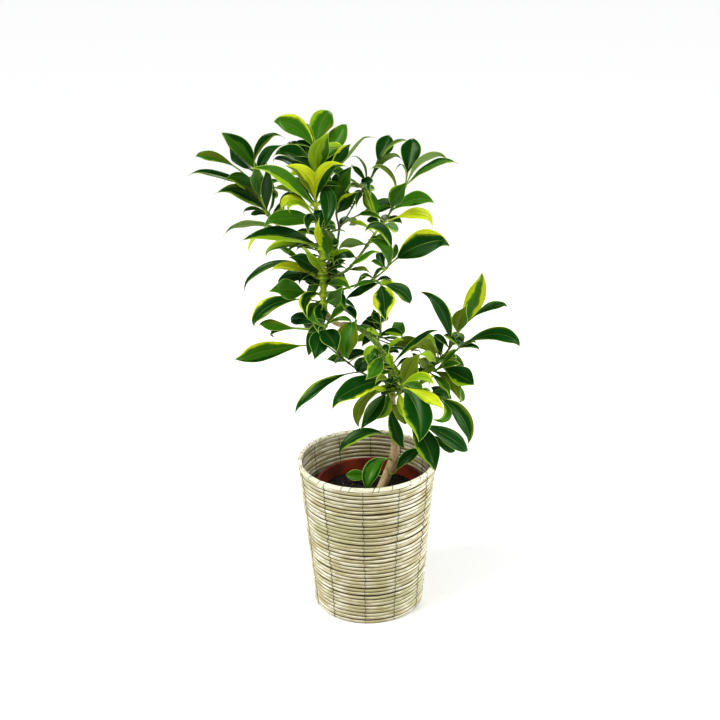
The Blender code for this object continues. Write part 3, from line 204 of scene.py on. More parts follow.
            ((0.5, 49.9), (-1.4, 50.1), (-3.3, 49.6), 1.3, 140, 0.6, 0.1, "ooo"),
            ((-0.9, 48.1), (-2.4, 48.8), (-4.1, 47.7), 1.4, 30, -2.0, 0.1, "ldd"),
            ((-2.2, 46.7), (-0.8, 46.8), (0.6, 46.6), 1.0, 55, -2.0, 0.1, "kkm"),
            ((-1.6, 47.2), (-0.2, 48.2), (1.7, 49.4), 0.9, 50, -3.0, 0.1, "mml"),
        ],
    },
    "shoot_middle": {
        "parent": "leader",
        "back": 0,
        "stems": [
            (0.17, 0.09, (-5.1, 43.8, 0.0), (-3.4, 44.0, -1.2), (-1.6, 44.6, -1.7), (0.0, 45.1, -1.9),
             (1.1, 45.5, -2.0), (2.7, 46.8, -2.1), (3.5, 48.2, -2.1)),
            (0.09, 0.08, (1.1, 45.5, -2.0), (1.6, 45.2, -2.2), (2.0, 44.8, -2.3)),
        ],
        "leaves": [
            ((2.8, 46.9), (2.7, 49.2), (0.4, 50.7), 1.6, 30, -1.5, 0.06, "mmm"),
            ((3.4, 48.2), (2.5, 51.3), (-0.1, 52.2), 1.6, 40, -2.5, 0.12, "ddl"),
            ((2.8, 46.9), (6.5, 49.6), (10.7, 50.3), 3.0, 20, -1.5, 0.18, "ydd"),
            ((2.7, 46.8), (2.1, 48.0), (2.0, 49.3), 1.1, 0, 2.5, 0.1, "ddd"),
            ((3.3, 47.8), (3.8, 48.9), (4.0, 50.3), 0.8, 30, 2.0, 0.1, "kdo"),
            ((2.0, 44.8), (2.4, 42.9), (2.4, 40.1), 2.5, 0, -3.0, 0.06, "ydy"),
            ((2.0, 44.8), (4.5, 43.9), (6.1, 41.9), 1.8, 25, 1.0, 0.1, "ddk"),
            ((1.8, 45.0), (0.0, 44.2), (-2.9, 42.9), 1.3, 45, 1.5, 0.06, "mdd"),
            ((1.6, 45.2), (0.2, 45.0), (-1.5, 44.4), 0.9, 50, -1.0, 0.06, "mmm"),
        ],
    },
    "shoot_dark": {
        "parent": "trunk",
        "back": 0,
        "stems": [
            (0.16, 0.1, (-4.2, 40.2, 0.0), (-4.8, 39.7, -1.0), (-5.2, 38.9, -1.5)),
        ],
        "leaves": [
            ((-5.0, 39.3), (-6.3, 38.1), (-7.4, 35.1), 1.9, 30, -0.5, 0.06, "ddd"),
            ((-5.2, 38.9), (-5.9, 37.4), (-6.5, 34.9), 2.3, 10, -2.5, 0.06, "ddd"),
            ((-5.2, 38.9), (-4.5, 37.9), (-3.5, 36.0), 2.3, 10, -2.0, 0.06, "ddd"),
            ((-5.0, 39.4), (-5.7, 39.8), (-6.3, 39.0), 1.3, 20, -4.0, 0.1, "mdd"),
            ((-4.9, 39.5), (-6.6, 40.0), (-8.0, 39.0), 1.9, 20, 2.0, 0.1, "ddd"),
            ((-5.0, 39.4), (-7.8, 40.4), (-9.8, 40.1), 1.6, 20, 2.5, 0.1, "ddd"),
            ((-5.2, 38.9), (-10.1, 39.3), (-13.6, 40.1), 1.4, 20, 0.5, 0.36, "kmm"),
            ((-5.2, 38.8), (-9.9, 39.2), (-12.3, 38.4), 1.3, 55, 2.0, 0.36, "ddd"),
        ],
    },
    "shoot_arch": {
        "parent": "trunk",
        "back": 0,
        "stems": [
            (0.12, 0.1, (-1.2, 39.3, 0.0), (-1.15, 39.8, -0.9), (-1.1, 40.2, -1.4)),
        ],
        "leaves": [
            ((-1.1, 40.1), (-2.3, 37.9), (-2.6, 34.6), 2.6, 0, -1.5, 0.06, "kMk"),
            ((-1.1, 40.1), (-1.8, 41.2), (-3.2, 42.4), 1.4, 40, 1.0, 0.1, "ddd"),
        ],
    },
    "shoot_inner": {
        "parent": "trunk",
        "back": 0,
        "stems": [
            (0.12, 0.08, (1.2, 37.4, 0.0), (1.8, 37.9, 0.8), (2.0, 39.0, 1.0), (2.0, 39.9, 1.1)),
        ],
        "leaves": [
            ((1.95, 38.6), (1.4, 40.1), (1.2, 41.8), 1.4, 30, 1.5, 0.1, "ddl"),
            ((2.0, 39.6), (2.3, 40.2), (3.0, 41.1), 1.0, 0, 2.0, 0.1, "ddd"),
            ((1.9, 38.6), (0.9, 39.4), (-0.8, 39.5), 1.7, 30, 1.5, 0.1, "ddd"),
            ((1.9, 38.9), (1.2, 39.9), (0.4, 40.5), 1.4, 10, 3.0, 0.1, "ddd"),
            ((1.85, 38.05), (1.2, 38.5), (0.0, 39.0), 1.0, 50, -2.0, 0.1, "lll"),
            ((1.85, 38.0), (4.7, 36.9), (7.6, 37.4), 1.9, 20, 0.7, 0.2, "kkk"),
            ((1.9, 38.1), (3.7, 38.6), (4.9, 39.9), 1.8, 0, 1.0, 0.25, "mmm"),
        ],
    },
    "shoot_heart": {
        "parent": "trunk",
        "back": 0,
        "stems": [
            (0.14, 0.1, (2.5, 35.1, 0.0), (2.3, 35.3, -0.9), (2.0, 35.8, -1.4)),
        ],
        "leaves": [
            ((2.0, 35.7), (0.9, 35.7), (0.3, 33.9), 1.9, 0, -1.5, 0.06, "lmd"),
            ((2.2, 35.4), (1.4, 33.9), (0.2, 32.0), 1.8, 0, -2.5, 0.06, "lmm"),
            ((2.1, 35.6), (2.6, 36.4), (2.8, 35.2), 0.9, 0, -2.0, 0.1, "ddd"),
            ((2.3, 35.3), (-0.6, 35.7), (-2.6, 34.8), 1.3, 40, 2.0, 0.3, "ddd"),
            ((2.3, 35.3), (-0.1, 34.5), (-0.8, 32.6), 1.8, 0, 1.5, 0.3, "ddd"),
        ],
    },
    "shoot_left": {
        "parent": "trunk",
        "back": 0,
        "stems": [
            (0.17, 0.09, (3.2, 31.6, 0.0), (1.6, 32.1, 1.2), (-0.6, 33.1, 1.8), (-3.1, 35.2, 2.2),
             (-5.0, 36.9, 2.2)),
        ],
        "leaves": [
            ((-5.0, 36.9), (-11.8, 36.4), (-16.8, 34.7), 2.3, 15, -2.0, 0.22, "ymd"),
            ((-3.1, 35.2), (-3.4, 35.9), (-3.8, 36.8), 0.8, 30, -1.0, 0.1, "ddd"),
            ((-3.0, 35.1), (-3.4, 34.9), (-3.9, 34.5), 0.7, 0, -2.5, 0.1, "ddd"),
            ((-0.6, 33.1), (-5.4, 31.6), (-9.9, 27.3), 1.7, 45, -1.5, 0.2, "ldd"),
        ],
    },
    "shoot_low_left": {
        "parent": "trunk",
        "back": 0,
        "stems": [
            (0.17, 0.1, (3.3, 30.0, 0.0), (2.9, 30.4, -1.1), (2.7, 31.2, -1.7), (2.7, 32.2, -2.0)),
        ],
        "leaves": [
            ((2.7, 32.1), (-0.9, 31.1), (-5.0, 28.5), 2.5, 20, -2.5, 0.06, "ddy"),
            ((2.7, 30.9), (-0.5, 28.7), (-1.1, 24.9), 1.6, 30, -1.0, 0.1, "kkk"),
            ((2.8, 30.6), (1.2, 28.0), (-0.9, 25.0), 1.8, 0, -2.5, 0.1, "kdd"),
            ((2.9, 30.5), (2.5, 28.3), (1.2, 26.4), 1.8, 0, -0.5, 0.1, "lml"),
            ((2.7, 30.9), (0.4, 29.8), (-0.9, 28.2), 1.3, 20, 1.5, 0.1, "ddd"),
            ((2.8, 30.7), (2.0, 30.7), (0.8, 30.9), 0.8, 40, -3.0, 0.1, "lyl"),
            ((2.7, 32.2), (2.2, 32.3), (1.2, 31.8), 1.0, 30, -3.0, 0.1, "lkk"),
        ],
    },
    "shoot_low_right": {
        "parent": "trunk",
        "back": 0,
        "stems": [
            (0.2, 0.13, (3.55, 29.6, 0.0), (4.1, 30.0, -1.2), (4.6, 30.7, -1.9), (4.8, 31.4, -2.2)),
            (0.1, 0.08, (4.6, 30.7, -1.9), (6.8, 30.3, -1.5), (9.4, 29.4, -1.2)),
            (0.15, 0.09, (4.2, 30.2, -1.3), (3.9, 31.8, -1.5), (3.6, 33.2, -1.3), (3.6, 34.3, -1.1)),
        ],
        "leaves": [
            ((4.3, 30.3), (4.6, 28.6), (5.3, 25.9), 1.3, -40, -1.5, 0.06, "yyl"),
            ((4.7, 31.0), (6.6, 27.6), (7.3, 22.9), 3.3, 0, -3.5, 0.06, "ldd"),
            ((9.4, 29.4), (12.4, 26.8), (13.9, 22.1), 2.1, 20, -1.0, 0.06, "kdd"),
            ((9.3, 29.4), (9.5, 30.1), (8.3, 31.0), 1.3, 0, 1.0, 0.1, "ddd"),
            ((9.3, 29.4), (10.6, 27.2), (8.9, 25.8), 1.2, 20, -2.0, 0.1, "lmm"),
            ((4.8, 30.9), (7.8, 29.6), (10.0, 27.9), 1.6, 35, -3.0, 0.1, "yyl"),
            ((4.8, 31.4), (6.9, 32.3), (9.0, 31.4), 1.4, 40, -2.5, 0.06, "yll"),
            ((4.8, 31.4), (6.2, 31.2), (7.5, 30.2), 1.3, 0, 0.5, 0.1, "lml"),
            ((4.8, 31.4), (5.6, 33.5), (6.9, 35.4), 2.0, 0, -1.0, 0.06, "kkk"),
            ((3.6, 34.3), (6.0, 36.8), (9.2, 39.2), 1.1, 50, -0.5, 0.06, "ldl"),
            ((3.6, 33.6), (3.1, 34.7), (2.9, 35.9), 1.0, 0, -1.0, 0.1, "lll"),
        ],
    },
    "shoot_right": {
        "parent": "trunk",
        "back": 3,
        "stems": [
            (0.2, 0.09, (3.4, 30.8, 0.0), (5.0, 31.1, 1.2), (6.8, 32.0, 1.4), (8.1, 33.0, 1.4),
             (9.4, 34.6, 1.5), (10.4, 35.7, 1.5), (11.0, 36.6, 1.5), (11.7, 38.1, 1.5)),
            (0.09, 0.08, (10.3, 35.6, 1.5), (11.4, 35.8, 1.2), (12.6, 36.8, 1.0)),
            (0.09, 0.07, (8.1, 33.0, 1.4), (9.0, 33.2, 0.9), (9.9, 33.6, 0.6)),
        ],
        "leaves": [
            ((10.9, 36.5), (9.9, 40.8), (7.2, 44.1), 1.7, 15, -1.0, 0.1, "ldd"),
            ((11.7, 38.0), (13.5, 41.9), (15.0, 46.4), 2.3, 0, 1.5, 0.12, "ymy"),
            ((11.7, 38.0), (12.0, 40.0), (12.7, 41.6), 1.9, 0, -2.5, 0.06, "kKm"),
            ((11.7, 38.1), (14.9, 41.2), (18.3, 41.9), 1.3, 45, -0.5, 0.33, "mdd"),
            ((12.6, 36.6), (16.8, 38.0), (20.3, 36.1), 1.9, 30, -0.5, 0.06, "kdd"),
            ((9.7, 34.9), (9.1, 36.5), (8.2, 37.8), 2.3, 0, 2.0, 0.1, "ddd"),
            ((10.5, 35.8), (11.5, 37.1), (12.9, 36.3), 1.8, 20, 2.5, 0.1, "ddo"),
            ((9.3, 34.5), (7.7, 36.6), (5.6, 36.0), 1.8, 20, -2.5, 0.1, "kkk"),
            ((9.4, 34.7), (8.5, 37.3), (7.1, 37.3), 1.2, 45, -1.0, 0.3, "yld"),
            ((9.0, 34.2), (8.2, 35.1), (7.3, 35.4), 1.2, 20, -3.0, 0.1, "lll"),
            ((8.3, 33.3), (7.6, 34.2), (6.8, 34.7), 1.3, 0, -3.0, 0.1, "kkk"),
            ((9.9, 33.6), (12.1, 32.4), (14.1, 31.1), 2.5, 10, -1.5, 0.06, "ddl"),
            ((9.0, 34.2), (11.2, 34.7), (12.9, 33.2), 1.4, 30, 1.0, 0.15, "kdd"),
            ((8.4, 33.1), (11.0, 31.7), (12.0, 28.8), 1.6, 20, -2.0, 0.1, "dkl"),
            ((8.2, 33.0), (9.9, 31.4), (10.9, 30.0), 1.1, 20, -3.5, 0.1, "mml"),
            ((9.9, 33.6), (12.0, 30.7), (12.6, 28.3), 1.0, 40, 2.0, 0.3, "mml"),
            ((7.9, 32.9), (6.6, 32.8), (5.0, 31.7), 1.3, 10, -0.5, 0.06, "ddd"),
        ],
    },
    "shoot_rim": {
        "parent": "trunk",
        "back": 0,
        "stems": [
            (0.13, 0.1, (3.75, 26.2, 0.0), (4.6, 26.7, 0.5), (5.5, 26.4, 0.6)),
        ],
        "leaves": [
            ((5.4, 26.4), (7.8, 22.9), (9.2, 18.5), 2.7, 0, -4.9, 0.06, "ddl"),
            ((5.5, 26.4), (10.4, 24.0), (13.7, 21.1), 2.2, 20, 1.0, 0.2, "ddd"),
            ((5.5, 26.3), (9.8, 23.0), (12.0, 21.9), 1.5, 20, 3.0, 0.3, "ddd"),
        ],
    },
    "leaf_over_rim": {
        "parent": "trunk",
        "back": 0,
        "stems": [(0.11, 0.1, (3.7, 24.0, 0.0), (2.9, 24.2, 0.3), (2.3, 24.3, 0.4))],
        "leaves": [((2.3, 24.3), (-0.8, 24.2), (-4.4, 21.5), 1.7, 40, -0.7, 0.03, "ddl")],
    },
    "leaves_hanging": {
        "parent": "trunk",
        "back": 0,
        "stems": [(0.12, 0.1, (3.5, 28.7, 0.0), (3.2, 28.7, -0.9), (3.1, 28.4, -1.3))],
        "leaves": [
            ((3.1, 28.4), (3.7, 25.2), (4.9, 21.8), 1.6, 0, -1.5, 0.06, "ldd"),
            ((3.1, 28.4), (4.3, 27.4), (5.3, 25.2), 1.5, 20, 0.2, 0.06, "mkk"),
        ],
    },
    "leaf_inside_pot": {
        "parent": "trunk",
        "back": 0,
        "stems": [(0.12, 0.1, (3.4, 20.4, 0.0), (3.0, 20.7, -0.9), (2.7, 20.7, -1.2))],
        "leaves": [((2.7, 20.7), (0.7, 19.2), (-0.1, 15.6), 2.0, 0, -3.3, 0.03, "dmd")],
    },
    "leaf_on_soil": {
        "parent": "trunk",
        "back": 0,
        "stems": [(0.1, 0.08, (2.35, 17.9, 0.0), (1.6, 18.2, 1.0), (0.7, 18.1, 1.5))],
        "leaves": [((0.7, 18.1), (-1.4, 18.3), (-3.0, 18.4), 1.4, 10, 0.5, 0.05, "dmd")],
    },
    "leaf_low_right": {
        "parent": "trunk",
        "back": 0,
        "stems": [(0.1, 0.08, (2.75, 18.7, 0.0), (3.3, 18.4, -0.9), (3.7, 18.6, -1.1))],
        "leaves": [((3.7, 18.6), (5.2, 20.7), (7.6, 22.2), 1.5, 20, 1.0, 0.05, "ddd")],
    },
}

# Shared helpers for surfaces worked out on a grid of rings

def unit(rows):
    return rows / np.maximum(np.linalg.norm(rows, axis=-1, keepdims=True), 1e-12)


def easeStep(low, high, value):
    # 0 below low, 1 above high, and 3x^2 - 2x^3 between them
    x = np.clip((value - low) / (high - low), 0.0, 1.0)
    return x * x * (3.0 - 2.0 * x)


def roundWave(angle, rng, waves, size):
    # a smooth random wave that closes round a circle: a sum of sines of whole-number frequency and falling size
    angle = np.asarray(angle)
    total = np.zeros_like(angle)
    for count in waves:
        total = total + math.sqrt(waves[0] / count) * rng.uniform(0.5, 1.0) * np.sin(
            count * angle + rng.uniform(0.0, 2.0 * math.pi))
    return size * total / math.sqrt(len(waves))


def smoothed(points, steps=8):
    # a Catmull-Rom curve through the points
    p = np.asarray(points, float)
    p = np.vstack([2 * p[0] - p[1], p, 2 * p[-1] - p[-2]])
    u = np.linspace(0.0, len(p) - 3, (len(p) - 3) * steps + 1)
    i = np.minimum(u.astype(int), len(p) - 4)
    t = (u - i)[:, None]
    a, b, c, d = p[i], p[i + 1], p[i + 2], p[i + 3]
    bend = (c - a) * t + (2 * a - 5 * b + 4 * c - d) * t ** 2 + (3 * b - a - 3 * c + d) * t ** 3
    return 0.5 * (2 * b + bend)


def placed(seen):
    # seen (x, z, depth) in cm as places in metres, each slid along the sight line from the eye to its depth
    seen = np.asarray(seen, float)
    flat = np.stack([seen[..., 0], np.zeros(seen.shape[:-1]), seen[..., 1]], axis=-1)
    return (lookout + (flat - lookout) * (1.0 - seen[..., 2] / lookout[1])[..., None]) * cm


def gridPart(points, looped=False, look=0, **tags):
    # Faces over a grid of rings (rings, sides, 3): the sides close round, and the ends are capped or, looped, meet.
    rings, sides = points.shape[:2]
    i = np.arange(rings if looped else rings - 1)[:, None]
    j = np.arange(sides)[None, :]
    after, beside = (i + 1) % rings, (j + 1) % sides
    quads = np.stack([i * sides + j, i * sides + beside, after * sides + beside, after * sides + j], axis=-1)
    loops = [quads.reshape(-1)]
    sizes = [np.full(quads.shape[0] * quads.shape[1], 4)]
    if not looped:
        loops += [np.arange(sides)[::-1], (rings - 1) * sides + np.arange(sides)]
        sizes += [[sides], [sides]]
    loops, sizes = np.concatenate(loops), np.concatenate(sizes)
    flat = points.reshape(-1, 3)
    centre = flat.mean(axis=0)
    a, b, c = (flat[quads.reshape(-1, 4)[:, k]] - centre for k in (0, 1, 2))
    d = flat[quads.reshape(-1, 4)[:, 3]] - centre
    volume = (np.cross(a, b) * c).sum() + (np.cross(a, c) * d).sum()
    if volume < 0.0:  # the rings run the other way round, so the faces are turned to point outwards
        starts = np.concatenate([[0], np.cumsum(sizes)[:-1]])
        owner = np.repeat(np.arange(len(sizes)), sizes)
        within = np.arange(len(loops)) - starts[owner]
        loops = loops[starts[owner] + sizes[owner] - 1 - within]
    return {"points": flat, "loops": loops, "sizes": sizes, "look": look,
            "tags": {name: np.asarray(values, float).reshape(len(flat), -1) for name, values in tags.items()}}


def addPiece(name, parts, materials, nodes):
    # Joins the parts into one mesh, with their tags as point attributes, and puts it in place of the CAD nodes.
    counts = [len(part["points"]) for part in parts]
    starts = np.concatenate([[0], np.cumsum(counts)[:-1]])
    loops = np.concatenate([part["loops"] + start for part, start in zip(parts, starts)])
    sizes = np.concatenate([part["sizes"] for part in parts])
    mesh = bpy.data.meshes.new(name)
    mesh.vertices.add(sum(counts))
    mesh.vertices.foreach_set("co", np.concatenate([part["points"] for part in parts]).ravel())
    mesh.loops.add(len(loops))
    mesh.loops.foreach_set("vertex_index", loops.astype(np.int32))
    mesh.polygons.add(len(sizes))
    mesh.polygons.foreach_set("loop_start", np.concatenate([[0], np.cumsum(sizes)[:-1]]).astype(np.int32))
    for material in materials:
        mesh.materials.append(material)
    looks = np.concatenate([np.full(len(part["sizes"]), part["look"]) for part in parts])
    mesh.polygons.foreach_set("material_index", looks.astype(np.int32))
    mesh.polygons.foreach_set("use_smooth", np.ones(len(sizes), bool))
    for tag in sorted({tag for part in parts for tag in part["tags"]}):
        width = max(part["tags"][tag].shape[1] for part in parts if tag in part["tags"])
        values = np.concatenate([part["tags"].get(tag, np.zeros((count, width)))
                                 for part, count in zip(parts, counts)])
        kind, field = ("FLOAT", "value") if width == 1 else ("FLOAT_VECTOR", "vector")
        mesh.attributes.new(tag, kind, "POINT").data.foreach_set(field, values.astype(np.float32).ravel())
    mesh.update(calc_edges=True)
    mesh.validate()
    piece = bpy.data.objects.new(name, mesh)
    bpy.context.scene.collection.objects.link(piece)
    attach(piece, "root")
    if nodes:
        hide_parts(*nodes)
    return piece


def carried(line, ring, first=(0.0, 1.0, 0.0)):
    # A ring (rings, sides, 2) carried along a line: each ring stands square to the line's run.
    run = unit(np.gradient(line, axis=0))
    side = unit(np.cross(run, first))
    up = np.cross(side, run)
    return line[:, None] + ring[..., :1] * side[:, None] + ring[..., 1:] * up[:, None]


# Shared helpers for materials

def newMaterial(name, roughness, **fixed):
    material = bpy.data.materials.new(name)
    material.use_nodes = True
    shader = material.node_tree.nodes["Principled BSDF"]
    shader.inputs["Roughness"].default_value = roughness
    for socket, value in fixed.items():
        shader.inputs[socket.replace("_", " ")].default_value = value
    return material, material.node_tree, shader


def newNode(tree, kind, **settings):
    node = tree.nodes.new(kind)
    for key, value in settings.items():
        if key in node.inputs:
            node.inputs[key].default_value = value
        else:
            setattr(node, key, value)
    return node


def feed(tree, target, source):
    # A socket gets either another node's output or a plain value.
    if isinstance(source, bpy.types.NodeSocket):
        tree.links.new(source, target)
    else:
        target.default_value = source


def maths(tree, operation, a, b=0.0, clamp=False):
    node = tree.nodes.new("ShaderNodeMath")
    node.operation = operation
    node.use_clamp = clamp
    feed(tree, node.inputs[0], a)
    feed(tree, node.inputs[1], b)
    return node.outputs[0]


def mixColours(tree, share, a, b, blend="MIX"):
    node = tree.nodes.new("ShaderNodeMix")
    node.data_type = "RGBA"
    node.blend_type = blend
    feed(tree, node.inputs[0], share)
    feed(tree, node.inputs[6], a)
    feed(tree, node.inputs[7], b)
    return node.outputs[2]


def ramp(tree, value, low, high):
    # 0 to 1 as the value goes from low to high, eased
    node = tree.nodes.new("ShaderNodeMapRange")
    node.interpolation_type = "SMOOTHSTEP"
    feed(tree, node.inputs[0], value)
    feed(tree, node.inputs[1], low)
    feed(tree, node.inputs[2], high)
    return node.outputs[0]


def cloud(tree, place, scale, detail=3.0, roughness=0.55):
    node = newNode(tree, "ShaderNodeTexNoise", Scale=scale, Detail=detail, Roughness=roughness)
    feed(tree, node.inputs["Vector"], place)
    return node.outputs["Fac"]


def attribute(tree, name, output="Vector"):
    return newNode(tree, "ShaderNodeAttribute", attribute_name=name).outputs[output]


def bumped(tree, shader, height, strength, distance):
    bump = newNode(tree, "ShaderNodeBump", Strength=strength, Distance=distance)
    feed(tree, bump.inputs["Height"], height)
    tree.links.new(bump.outputs[0], shader.inputs["Normal"])


def newGroup(name, inputs, outputs):
    # A node group with named sockets: inputs give each socket's kind and start value.
    group = bpy.data.node_groups.new(name, "ShaderNodeTree")
    for label, (kind, start) in inputs.items():
        socket = group.interface.new_socket(label, in_out="INPUT", socket_type=kind)
        if start is not None:
            socket.default_value = start
    for label, kind in outputs.items():
        group.interface.new_socket(label, in_out="OUTPUT", socket_type=kind)
    return group, group.nodes.new("NodeGroupInput").outputs, group.nodes.new("NodeGroupOutput").inputs


def placeGroup(tree, group, **values):
    node = tree.nodes.new("ShaderNodeGroup")
    node.node_tree = group
    for label, value in values.items():
        feed(tree, node.inputs[label], value)
    return node.outputs


plant = {
    "bushDepth": 1.7,  # the bush is this many times deeper than laid out, except the low shoots at the pot
    "lowShoots": ("shoot_rim", "leaf_over_rim", "leaves_hanging", "leaf_inside_pot", "leaf_on_soil",
                  "leaf_low_right"),
    "seed": 7,
    "stemSides": 12,
    "trunkSides": 56,
    "nodeSwell": 0.30,  # how much a stem thickens where a leaf leaves it
    "nodeReach": 1.6 * mm,
    "rootFlare": 0.16,  # how much the trunk widens where it enters the soil
}

leafShape = {
    "petioleRings": 6,
    "bladeRings": 24,
    "acrossTop": (-1.0, -0.975, -0.85, -0.62, -0.36, -0.17, -0.07, 0.0, 0.07, 0.17, 0.36, 0.62, 0.85, 0.975, 1.0),
    "acrossUnder": (0.975, 0.8, 0.45, 0.15, 0.0, -0.15, -0.45, -0.8, -0.975),
    "wider": 1.10,
    "skew": (1.10, 1.38),  # how far the widest place moves from the middle towards the tip
    "fullness": (0.66, 0.84),  # the lower, the rounder the ends
    "petioleHalf": 1.0 * mm,
    "petioleThick": 1.7 * mm,
    "bladeThick": 0.6 * mm,
    "dripTip": 0.95 * mm,
    "fold": 0.58,  # how steeply the wings rise from the midrib
    "arch": 0.24,  # how far they bend back to their edges
    "edgeWave": 0.065,
    "tipHook": 0.15,
    "bodyShare": 0.955,  # the rest of the blade is the narrow drip tip
    "taper": 0.24,
    "twist": 0.25,
    "groove": 0.32 * mm,
    "ridge": 0.55 * mm,
}

# Leaves that fill the inside of the bush, laid out as those in the table of shoots.
innerLeaves = {
    "leader": [
        ((-6.0, 55.6), (-5.4, 53.9), (-5.3, 51.7), 1.5, 10, -0.6, 0.08, "ddd"),
        ((-6.1, 53.6), (-7.9, 55.2), (-9.5, 54.1), 1.5, 60, -1.0, 0.10, "yly"),
        ((-6.0, 52.6), (-7.4, 53.4), (-8.9, 52.9), 1.3, 75, 1.5, 0.10, "mdm"),
        ((-5.8, 49.8), (-7.6, 50.1), (-9.8, 49.0), 1.5, 80, -1.2, 0.10, "lmo"),
        ((-5.7, 48.6), (-7.0, 48.4), (-8.2, 47.2), 1.2, 70, 1.0, 0.10, "ddl"),
        ((-5.4, 46.8), (-6.9, 46.2), (-8.4, 45.0), 1.7, 75, -0.8, 0.10, "ddd"),
        ((-5.2, 45.8), (-6.3, 44.6), (-7.4, 43.2), 1.5, 40, 0.8, 0.10, "dmd"),
        ((-5.0, 46.4), (-3.9, 46.6), (-2.6, 45.6), 1.6, 70, -0.9, 0.10, "ddl"),
        ((-4.9, 45.0), (-3.6, 44.6), (-2.4, 43.2), 1.6, 60, -0.4, 0.10, "ddd"),
        ((-4.8, 43.8), (-3.7, 42.8), (-3.0, 41.2), 1.5, 30, -0.6, 0.10, "mdm"),
        ((-4.8, 43.2), (-5.8, 42.0), (-6.6, 40.7), 1.5, 30, -0.5, 0.10, "ddl"),
        ((-4.6, 42.6), (-2.6, 42.6), (-0.9, 41.1), 1.3, 60, 0.6, 0.10, "ddd"),
        ((-5.5, 51.2), (-4.6, 52.0), (-3.4, 51.6), 1.2, 70, -0.8, 0.10, "lml"),
        ((-5.6, 47.4), (-4.3, 48.2), (-3.0, 47.8), 1.3, 75, -0.6, 0.10, "dml"),
        ((-5.1, 43.6), (-3.6, 43.4), (-2.4, 41.6), 1.6, 45, -1.6, 0.10, "ddM"),
        ((-5.0, 42.6), (-5.6, 41.4), (-5.0, 39.9), 1.5, 20, -1.4, 0.10, "ddd"),
    ],
    "crown": [
        ((-6.3, 57.0), (-8.4, 60.0), (-11.2, 60.7), 2.0, 60, 1.8, 0.08, "ddd"),
        ((-6.2, 58.4), (-7.6, 61.2), (-8.6, 63.0), 1.9, 30, 1.6, 0.08, "ddm"),
        ((-6.0, 57.6), (-4.4, 60.4), (-3.3, 61.8), 1.9, 30, 1.5, 0.08, "dmd"),
        ((-6.1, 59.0), (-6.0, 61.8), (-5.6, 64.0), 1.9, 10, 1.9, 0.08, "mdm"),
        ((-6.1, 56.2), (-4.2, 57.2), (-2.6, 57.4), 1.8, 60, 1.2, 0.08, "ddd"),
        ((-6.1, 56.0), (-7.8, 57.6), (-9.6, 58.0), 1.6, 60, 1.4, 0.08, "mmd"),
        ((-6.1, 55.0), (-4.7, 55.0), (-3.4, 54.0), 1.6, 50, 1.0, 0.08, "ddd"),
    ],
    "shoot_top_left": [
        ((-11.5, 54.0), (-13.4, 55.6), (-15.3, 56.5), 1.4, 60, 0.6, 0.08, "ddl"),
        ((-12.0, 56.0), (-12.9, 57.6), (-14.0, 58.6), 1.5, 50, 1.0, 0.08, "ddd"),
    ],
    "shoot_top_middle": [
        ((-0.4, 57.0), (0.6, 55.6), (1.3, 53.4), 1.5, 20, -0.5, 0.10, "kly"),
        ((-0.5, 57.2), (-1.6, 57.9), (-2.9, 57.2), 1.3, 80, -0.3, 0.10, "ddm"),
    ],
    "shoot_inner": [
        ((2.6, 36.6), (3.6, 37.6), (4.6, 37.2), 1.5, 70, -0.6, 0.10, "ddl"),
        ((3.2, 34.8), (5.0, 36.2), (7.4, 36.0), 1.3, 75, -0.9, 0.10, "ddl"),
        ((3.9, 33.6), (4.2, 32.0), (4.4, 30.2), 1.3, 10, -0.9, 0.10, "lyl"),
        ((1.9, 38.2), (0.8, 37.8), (-0.6, 36.6), 1.5, 50, -0.8, 0.10, "ddd"),
    ],
    "shoot_right": [
        ((8.6, 35.0), (7.8, 34.0), (7.2, 32.9), 1.3, 40, -0.5, 0.10, "ddd"),
        ((8.8, 34.6), (10.2, 34.7), (11.4, 34.1), 1.3, 70, -0.6, 0.10, "dmd"),
    ],
    "shoot_low_right": [
        ((6.6, 32.0), (7.6, 31.9), (8.5, 31.0), 1.2, 60, -0.5, 0.10, "yll"),
        ((4.3, 31.6), (5.6, 33.0), (7.0, 33.0), 1.5, 60, -0.6, 0.10, "Ldd"),
        ((3.8, 33.2), (5.1, 34.6), (6.6, 34.2), 1.5, 70, 0.8, 0.10, "mdm"),
        ((4.8, 31.2), (5.9, 30.4), (6.4, 28.8), 1.5, 30, 0.8, 0.10, "ddM"),
    ],
    "shoot_arch": [
        ((-1.2, 39.2), (0.0, 39.0), (0.8, 38.0), 1.4, 60, -0.6, 0.10, "dmd"),
    ],
}

# Small leaves standing round each shoot's stems: how many, and their lengths and widths in cm.
smallLeaves = {
    "counts": {"leader": 26, "crown": 13, "shoot_top_left": 9, "shoot_top_middle": 5, "shoot_top_right": 7,
               "shoot_middle": 6, "shoot_dark": 4, "shoot_inner": 6, "shoot_heart": 5, "shoot_left": 4,
               "shoot_low_left": 6, "shoot_low_right": 12, "shoot_right": 14},
    "length": (1.8, 3.6),
    "width": (0.65, 1.1),
    "tints": ("ddd", "ddM", "lml", "ddd", "Mdd", "yld", "ddL", "lmd", "kdd"),
}

leafTints = {
    "d": (0.0040, 0.0460, 0.0030),
    "m": (0.0420, 0.1400, 0.0060),
    "l": (0.2300, 0.3700, 0.0100),
    "y": (0.5000, 0.5700, 0.0150),
    "k": (0.1050, 0.1450, 0.0060),
    "o": (0.0950, 0.1650, 0.0300),
}

# How fresh each shoot's stems are: 0 is brown and woody, 1 is lime green.
stemFreshness = {
    "leader": 0.95, "crown": 1.0, "shoot_top_left": 0.7, "shoot_top_middle": 0.35, "shoot_top_right": 0.5,
    "shoot_middle": 0.55, "shoot_right": 0.25, "shoot_left": 0.3, "shoot_low_right": 0.6,
}


